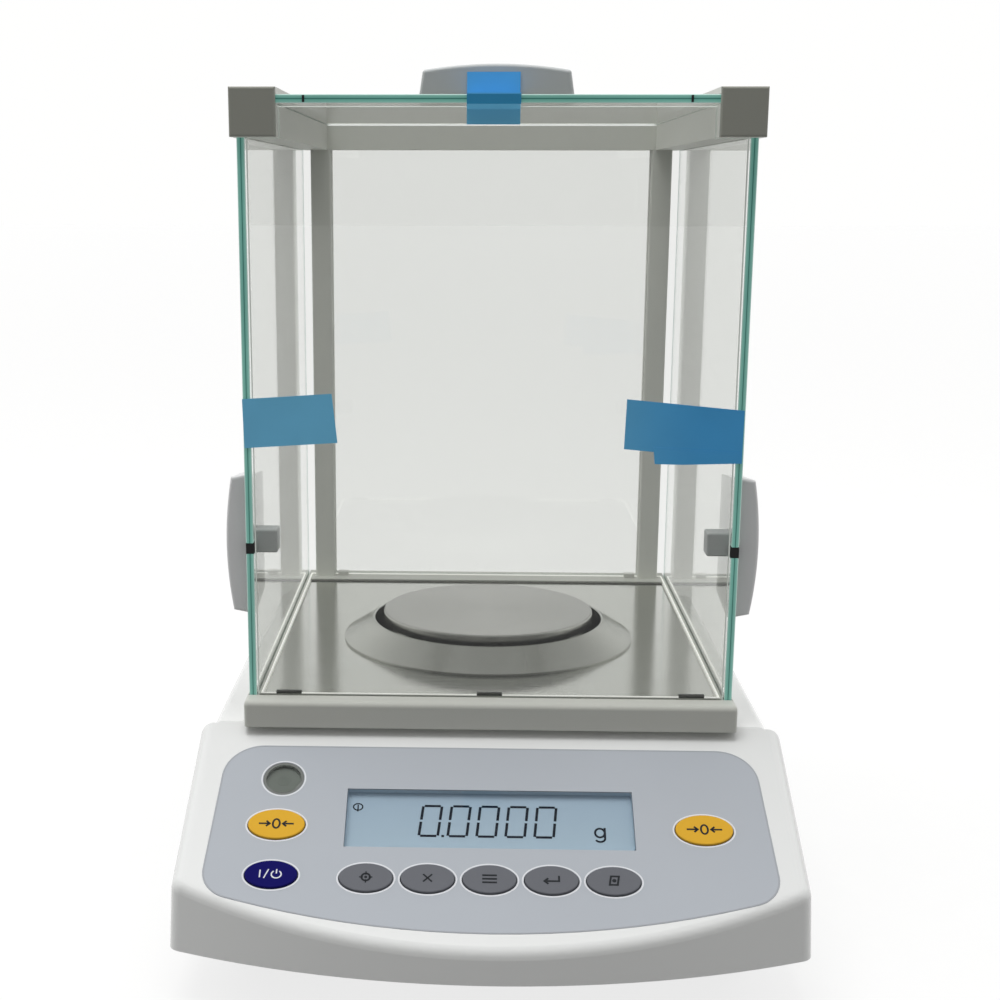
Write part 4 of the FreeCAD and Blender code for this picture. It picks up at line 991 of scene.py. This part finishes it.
def spaced(loop, step=1.2):
    """A closed loop again, with its points at even steps along it."""
    closed = np.vstack([loop, loop[:1]])
    length = np.concatenate([[0.0], np.hypot(*np.diff(closed, axis=0).T).cumsum()])
    places = np.linspace(0.0, length[-1], int(length[-1] / step), endpoint=False)
    return np.stack([np.interp(places, length, closed[:, k]) for k in (0, 1)], axis=1)


def moved_in(loop, distance):
    """A closed, smooth loop moved inwards along its normals."""
    ahead = np.roll(loop, -1, axis=0) - np.roll(loop, 1, axis=0)
    ahead = ahead / np.linalg.norm(ahead, axis=1, keepdims=True)
    turn = np.sign(np.cross(loop, np.roll(loop, -1, axis=0)).sum())
    return loop + distance * turn * np.stack([-ahead[:, 1], ahead[:, 0]], axis=1)


film_edge = moved_in(spaced(outer_rim("control_overlay")), 0.35)
print_strokes("film_edge_line", "root", ink_line, np.array([0.0, 0.0, overlay_out]),
              [(film_edge, 0.35, True)])
print("overlay reaches", round(overlay_top / MM, 1), "to", round(overlay_foot / MM, 1), "mm up the slope")

# %% [markdown]
# ## Figures on the display
# A liquid crystal figure is drawn with seven segments. A nought lights six of them,
# and a hair of a gap parts each segment from the next. The figures lean a little to
# the right. Each segment is a ribbon, moved and leaned by one small function.

# %% Display figures
figure_height = 13.6
figure_width = 6.9
figure_pitch = 10.55
figure_lean = 0.1
figure_pen = 1.0
segment_gap = 0.5
first_figure = -21.6        # middle of the first figure, from the middle of the panel
figures_rise = 0.85         # middle of the figures above the middle of the window


def leaned(points, x):
    """Moves figure points to x and leans them to the right with their height."""
    points = np.asarray(points, float)
    return np.stack([x + points[:, 0] + figure_lean * points[:, 1], figures_rise + points[:, 1]], axis=1)


def nought(x):
    """Six segments: two at the ends and four at the sides."""
    half_w, half_h = figure_width / 2, figure_height / 2
    ends = [[(-half_w + segment_gap, y), (half_w - segment_gap, y)] for y in (-half_h, half_h)]
    sides = [[(x0, sign * segment_gap), (x0, sign * (half_h - 0.2))]
             for x0 in (-half_w, half_w) for sign in (-1, 1)]
    return [(leaned(path, x), figure_pen, False) for path in ends + sides]


display_anchor = face_centre("lcd_panel")
figures = []
for index in range(5):
    figures += nought(first_figure + index * figure_pitch)
point_x = first_figure + figure_pitch / 2 - figure_lean * figure_height / 2
point_y = figures_rise - figure_height / 2
figures.append(([(point_x - 0.5, point_y), (point_x + 0.5, point_y)], 0.95, False))
gram_x, gram_y = 40.3, -3.6
figures.append((ring_path((gram_x, gram_y), 1.75, 1.95), 0.8, True))
figures.append((np.vstack([[(gram_x + 1.8, gram_y + 2.3), (gram_x + 1.8, gram_y - 2.4)],
                           arc((gram_x, gram_y - 2.4), 1.8, 1.6, -12.0, -150.0, 14)]), 0.8, False))
ready_x, ready_y = -48.6, 6.8
figures.append((ring_path((ready_x, ready_y), 1.7, 1.5), 0.5, True))
figures.append(([(ready_x, ready_y - 2.1), (ready_x, ready_y + 1.0)], 0.5, False))
print_strokes("display_figures", "root", ink_display, display_anchor, figures)
print("display figures: 5 noughts, a point, a unit and a ready sign")

# %% [markdown]
# ## Display lens
# The lens is a clear block with a flange that lies behind the window. Its side walls
# are masked in the display's own pale blue, so that the eye doesn't see the dark cut of
# the housing through them. Each level of the block is a rectangle with round corners.

# %% Display lens
lens_corner = 1.0


def round_rectangle(half_w, half_h, radius, centre, steps=6):
    """Outline of a rectangle whose corners are quarter circles."""
    corners = []
    for sign_x, sign_y, start in ((1, 1, 0.0), (-1, 1, 90.0), (-1, -1, 180.0), (1, -1, 270.0)):
        corners.append(arc((centre[0] + sign_x * (half_w - radius), centre[1] + sign_y * (half_h - radius)),
                           radius, radius, start, start + 90.0, steps))
    return np.vstack(corners)


def build_lens():
    """Four rings of outline: flange bottom, flange top, shoulder and window face."""
    points = node_points("display_lens")
    out, up = (points @ panel_out) / MM, (points @ panel_up) / MM
    across = points[:, 0] / MM
    flange_top = np.unique(out.round(2))
    flange_top = flange_top[np.abs(flange_top - (out.max() - 2.4)).argmin()]
    rings = []
    for chosen, height in ((out < flange_top + 0.05, out.min()), (out < flange_top + 0.05, flange_top),
                           (out > flange_top + 0.1, flange_top), (out > flange_top + 0.1, out.max())):
        a, b = across[chosen], up[chosen]
        outline = round_rectangle(np.ptp(a) / 2, np.ptp(b) / 2, lens_corner,
                                  ((a.min() + a.max()) / 2, (b.min() + b.max()) / 2))
        rings.append(np.column_stack([outline, np.full(len(outline), height)]))
    count = len(rings[0])
    walls = grid_faces(len(rings), count, wrap_columns=True)
    faces = walls + [list(range(count))[::-1], list(range(3 * count, 4 * count))]
    # The walls take the display's finish, with its painted shade and glow.
    lens = make_piece("clear_lens", from_panel(np.concatenate(rings) * MM), faces,
                      [MATERIALS["display_lens"], MATERIALS["display_glass"]], [1] * len(walls) + [0, 0])
    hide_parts("display_lens")
    finish_piece(lens, "root")


build_lens()

# %% [markdown]
# ## Pale seals round the floor
# A thin strip of milky silicone closes the joint between the steel floor and the glass
# all the way round. It carries a painted glow, so that it shows bright although it faces
# the dim front. It is one closed ribbon of four straight runs.

# %% Floor seal
seal_wide = 0.6 * MM
seal_high = 0.9 * MM
seal_to_pane = 0.1 * MM
seal_to_door = 1.4 * MM
seal_painted_glow = finish("seal_painted_glow", srgb(240, 240, 234), 0.5, drift=0.06, scale=900.0)
seal_shader = seal_painted_glow.node_tree.nodes["Principled BSDF"]
# Painted glow, so that the seal shows bright in the dim front light.
seal_shader.inputs["Emission Color"].default_value = (1.0, 1.0, 0.97, 1.0)
seal_shader.inputs["Emission Strength"].default_value = 0.45


def floor_seal():
    """A frame of four mitred bars: an outer and an inner rectangle, at two heights."""
    floor_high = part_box("floor_plate")[1]
    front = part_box("front_pane")[1].y + seal_to_pane
    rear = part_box("rear_pane")[0].y - seal_to_pane
    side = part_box("right_door_pane")[0].x - seal_to_door
    rectangles = [(side - inset, front + inset, rear - inset) for inset in (0.0, seal_wide)]
    rings = []
    for (x, y0, y1), z in ((rectangles[0], 0.0), (rectangles[0], seal_high), (rectangles[1], seal_high),
                           (rectangles[1], 0.0)):
        height = floor_high.z + z
        rings.append([(-x, y0, height), (x, y0, height), (x, y1, height), (-x, y1, height)])
    faces = grid_faces(4, 4, wrap_rows=True, wrap_columns=True)
    return finish_piece(make_piece("floor_seal", rings, faces, [seal_painted_glow]), "root")


floor_seal()
print("floor seal laid")

# %% [markdown]
# ## Contacts of the data socket
# The socket at the back has nine brass contacts in two rows, five over four. Each one
# is a short turned pin with a flat end, all the same, so they share one formula: the
# row sets the height, and the places across are a pitch apart about the middle.

# %% Data socket contacts
pin_pitch = 2.76 * MM
pin_row = 2.84 * MM
pin_radius = 0.5 * MM
pin_proud = 0.15 * MM
pin_sunk = 0.1 * MM
pin_rows = ((5, 1), (4, -1))        # contacts in a row, and its side of the middle
brass = finish("contact_brass", srgb(214, 178, 96), 0.3, metallic=1.0, drift=0.2, scale=2000.0)


def socket_contacts(steps=16):
    """Nine cylinders along Y: (x, z) from row and place, y from the contact block's face."""
    low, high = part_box("data_port")
    points = node_points("data_port")
    middle = (low + high) / 2
    inside = (np.abs(points[:, 0] - middle.x) < 3 * pin_pitch) & (points[:, 1] < high.y - pin_sunk)
    face = points[inside][:, 1].max()
    angle = np.linspace(0.0, 2 * math.pi, steps, endpoint=False)
    places = [(middle.x + (k - (count - 1) / 2) * pin_pitch, middle.z + sign * pin_row / 2)
              for count, sign in pin_rows for k in range(count)]
    pins, faces = [], []
    for index, (x, z) in enumerate(places):
        for y in (face - pin_sunk, face + pin_proud):
            pins.append(np.stack([x + pin_radius * np.cos(angle), np.full(steps, y),
                                  z + pin_radius * np.sin(angle)], 1))
        start = 2 * steps * index
        middle_ring = start + steps
        faces += [[start + i for i in quad][::-1] for quad in grid_faces(2, steps, wrap_columns=True)]
        faces += [list(range(start, middle_ring)), list(range(middle_ring, middle_ring + steps))[::-1]]
    contacts = make_piece("socket_contacts", np.concatenate(pins), faces, [brass])
    return finish_piece(contacts, "root")


socket_contacts()
print("contacts: 9")

# %% [markdown]
# ## Bubble level
# Under the level's clear lid lies a grey-green fluid with a round bubble. The fluid is
# a shallow dish and the bubble is a low cap, both surfaces of revolution: a profile of
# radius and height, turned about the level's own axis.

# %% Level fluid and bubble
def turned(profile, centre, steps=64):
    """Points of a profile of (radius, height) turned about an axis along the panel's normal."""
    profile = np.asarray(profile, float)
    angle = np.linspace(0.0, 2 * math.pi, steps, endpoint=False)
    grid = np.stack([profile[:, None, 0] * np.cos(angle), profile[:, None, 0] * np.sin(angle),
                     profile[:, None, 1] * np.ones(steps)], axis=-1)
    return from_panel(grid.reshape(-1, 3) + centre)


def turned_piece(name, profile, centre, material, steps=64, smooth=True):
    """A closed turned solid on the panel: the profile runs from the lower rim to the upper."""
    rings = len(profile)
    faces = grid_faces(rings, steps, wrap_columns=True)
    faces += [list(range(steps))[::-1], list(range((rings - 1) * steps, rings * steps))]
    piece = make_piece(name, turned(profile, centre, steps), faces, [material], smooth=smooth)
    return finish_piece(piece, "root")


lid_points = node_points("level_lid")
lid_out = lid_points @ panel_out
level_centre = face_centre("level_lid")
level_centre[2] = lid_out.min()
lid_radius = np.ptp(lid_points[:, 0]) / 2
fluid = finish("level_fluid", srgb(138, 143, 138), 0.5, gloss=0.1, drift=0.2, scale=400.0, strength=0.05)
bubble_skin = finish("bubble_skin", srgb(126, 131, 126), 0.4, gloss=0.2, drift=0.05, scale=400.0)
fluid_depth = 1.0 * MM
turned_piece("level_liquid", [(lid_radius, -fluid_depth), (lid_radius, -0.1 * MM)], level_centre, fluid,
             smooth=False)
bubble_radius = 2.4 * MM
cap = np.linspace(0.0, math.pi / 2 - 0.05, 8)
turned_piece("level_bubble", np.stack([bubble_radius * np.cos(cap), 0.08 * MM * np.sin(cap) - 0.1 * MM], 1),
             level_centre, bubble_skin)
print("level at", (level_centre / MM).round(1))

# %% [markdown]
# ## The floor under it
# The balance stands on a plain pale surface that reaches far past it. It glows a little,
# so that its far edge stays faint against the tent, but reflections see it dim in front.
# It is a stage and no part of the object.

# %% Floor
floor_finish = finish("pale_floor", srgb(120, 120, 119), 0.7, drift=0.01, scale=60.0, strength=0.02)
floor_shader = floor_finish.node_tree.nodes["Principled BSDF"]
floor_tree = floor_finish.node_tree
floor_place = floor_tree.nodes.new("ShaderNodeTexCoord")
floor_axes = floor_tree.nodes.new("ShaderNodeSeparateXYZ")
floor_path = floor_tree.nodes.new("ShaderNodeLightPath")
sharp = math_node(floor_tree, "SUBTRACT", 1.0, floor_path.outputs["Diffuse Depth"], clamp=True)
behind = smooth_range(floor_tree, floor_axes.outputs["Y"], *front_glow_edge, front_glow_share, 1.0)
mirrored = math_node(floor_tree, "MULTIPLY", sharp, behind)
shown = math_node(floor_tree, "MAXIMUM", seen_directly(floor_tree), mirrored)
glow = math_node(floor_tree, "MULTIPLY", shown, floor_glow)
link(floor_tree, (floor_place.outputs["Object"], floor_axes.inputs[0]),
     (glow, floor_shader.inputs["Emission Strength"]))
floor_shader.inputs["Emission Color"].default_value = (1.0, 1.0, 1.0, 1.0)
floor_corners = [(x * floor_reach, y * floor_reach, 0) for x, y in ((-1, -1), (1, -1), (1, 1), (-1, 1))]
floor = make_piece("pale_floor", floor_corners, [[0, 1, 2, 3]], [floor_finish])
print("floor reaches", floor_reach, "m each way")
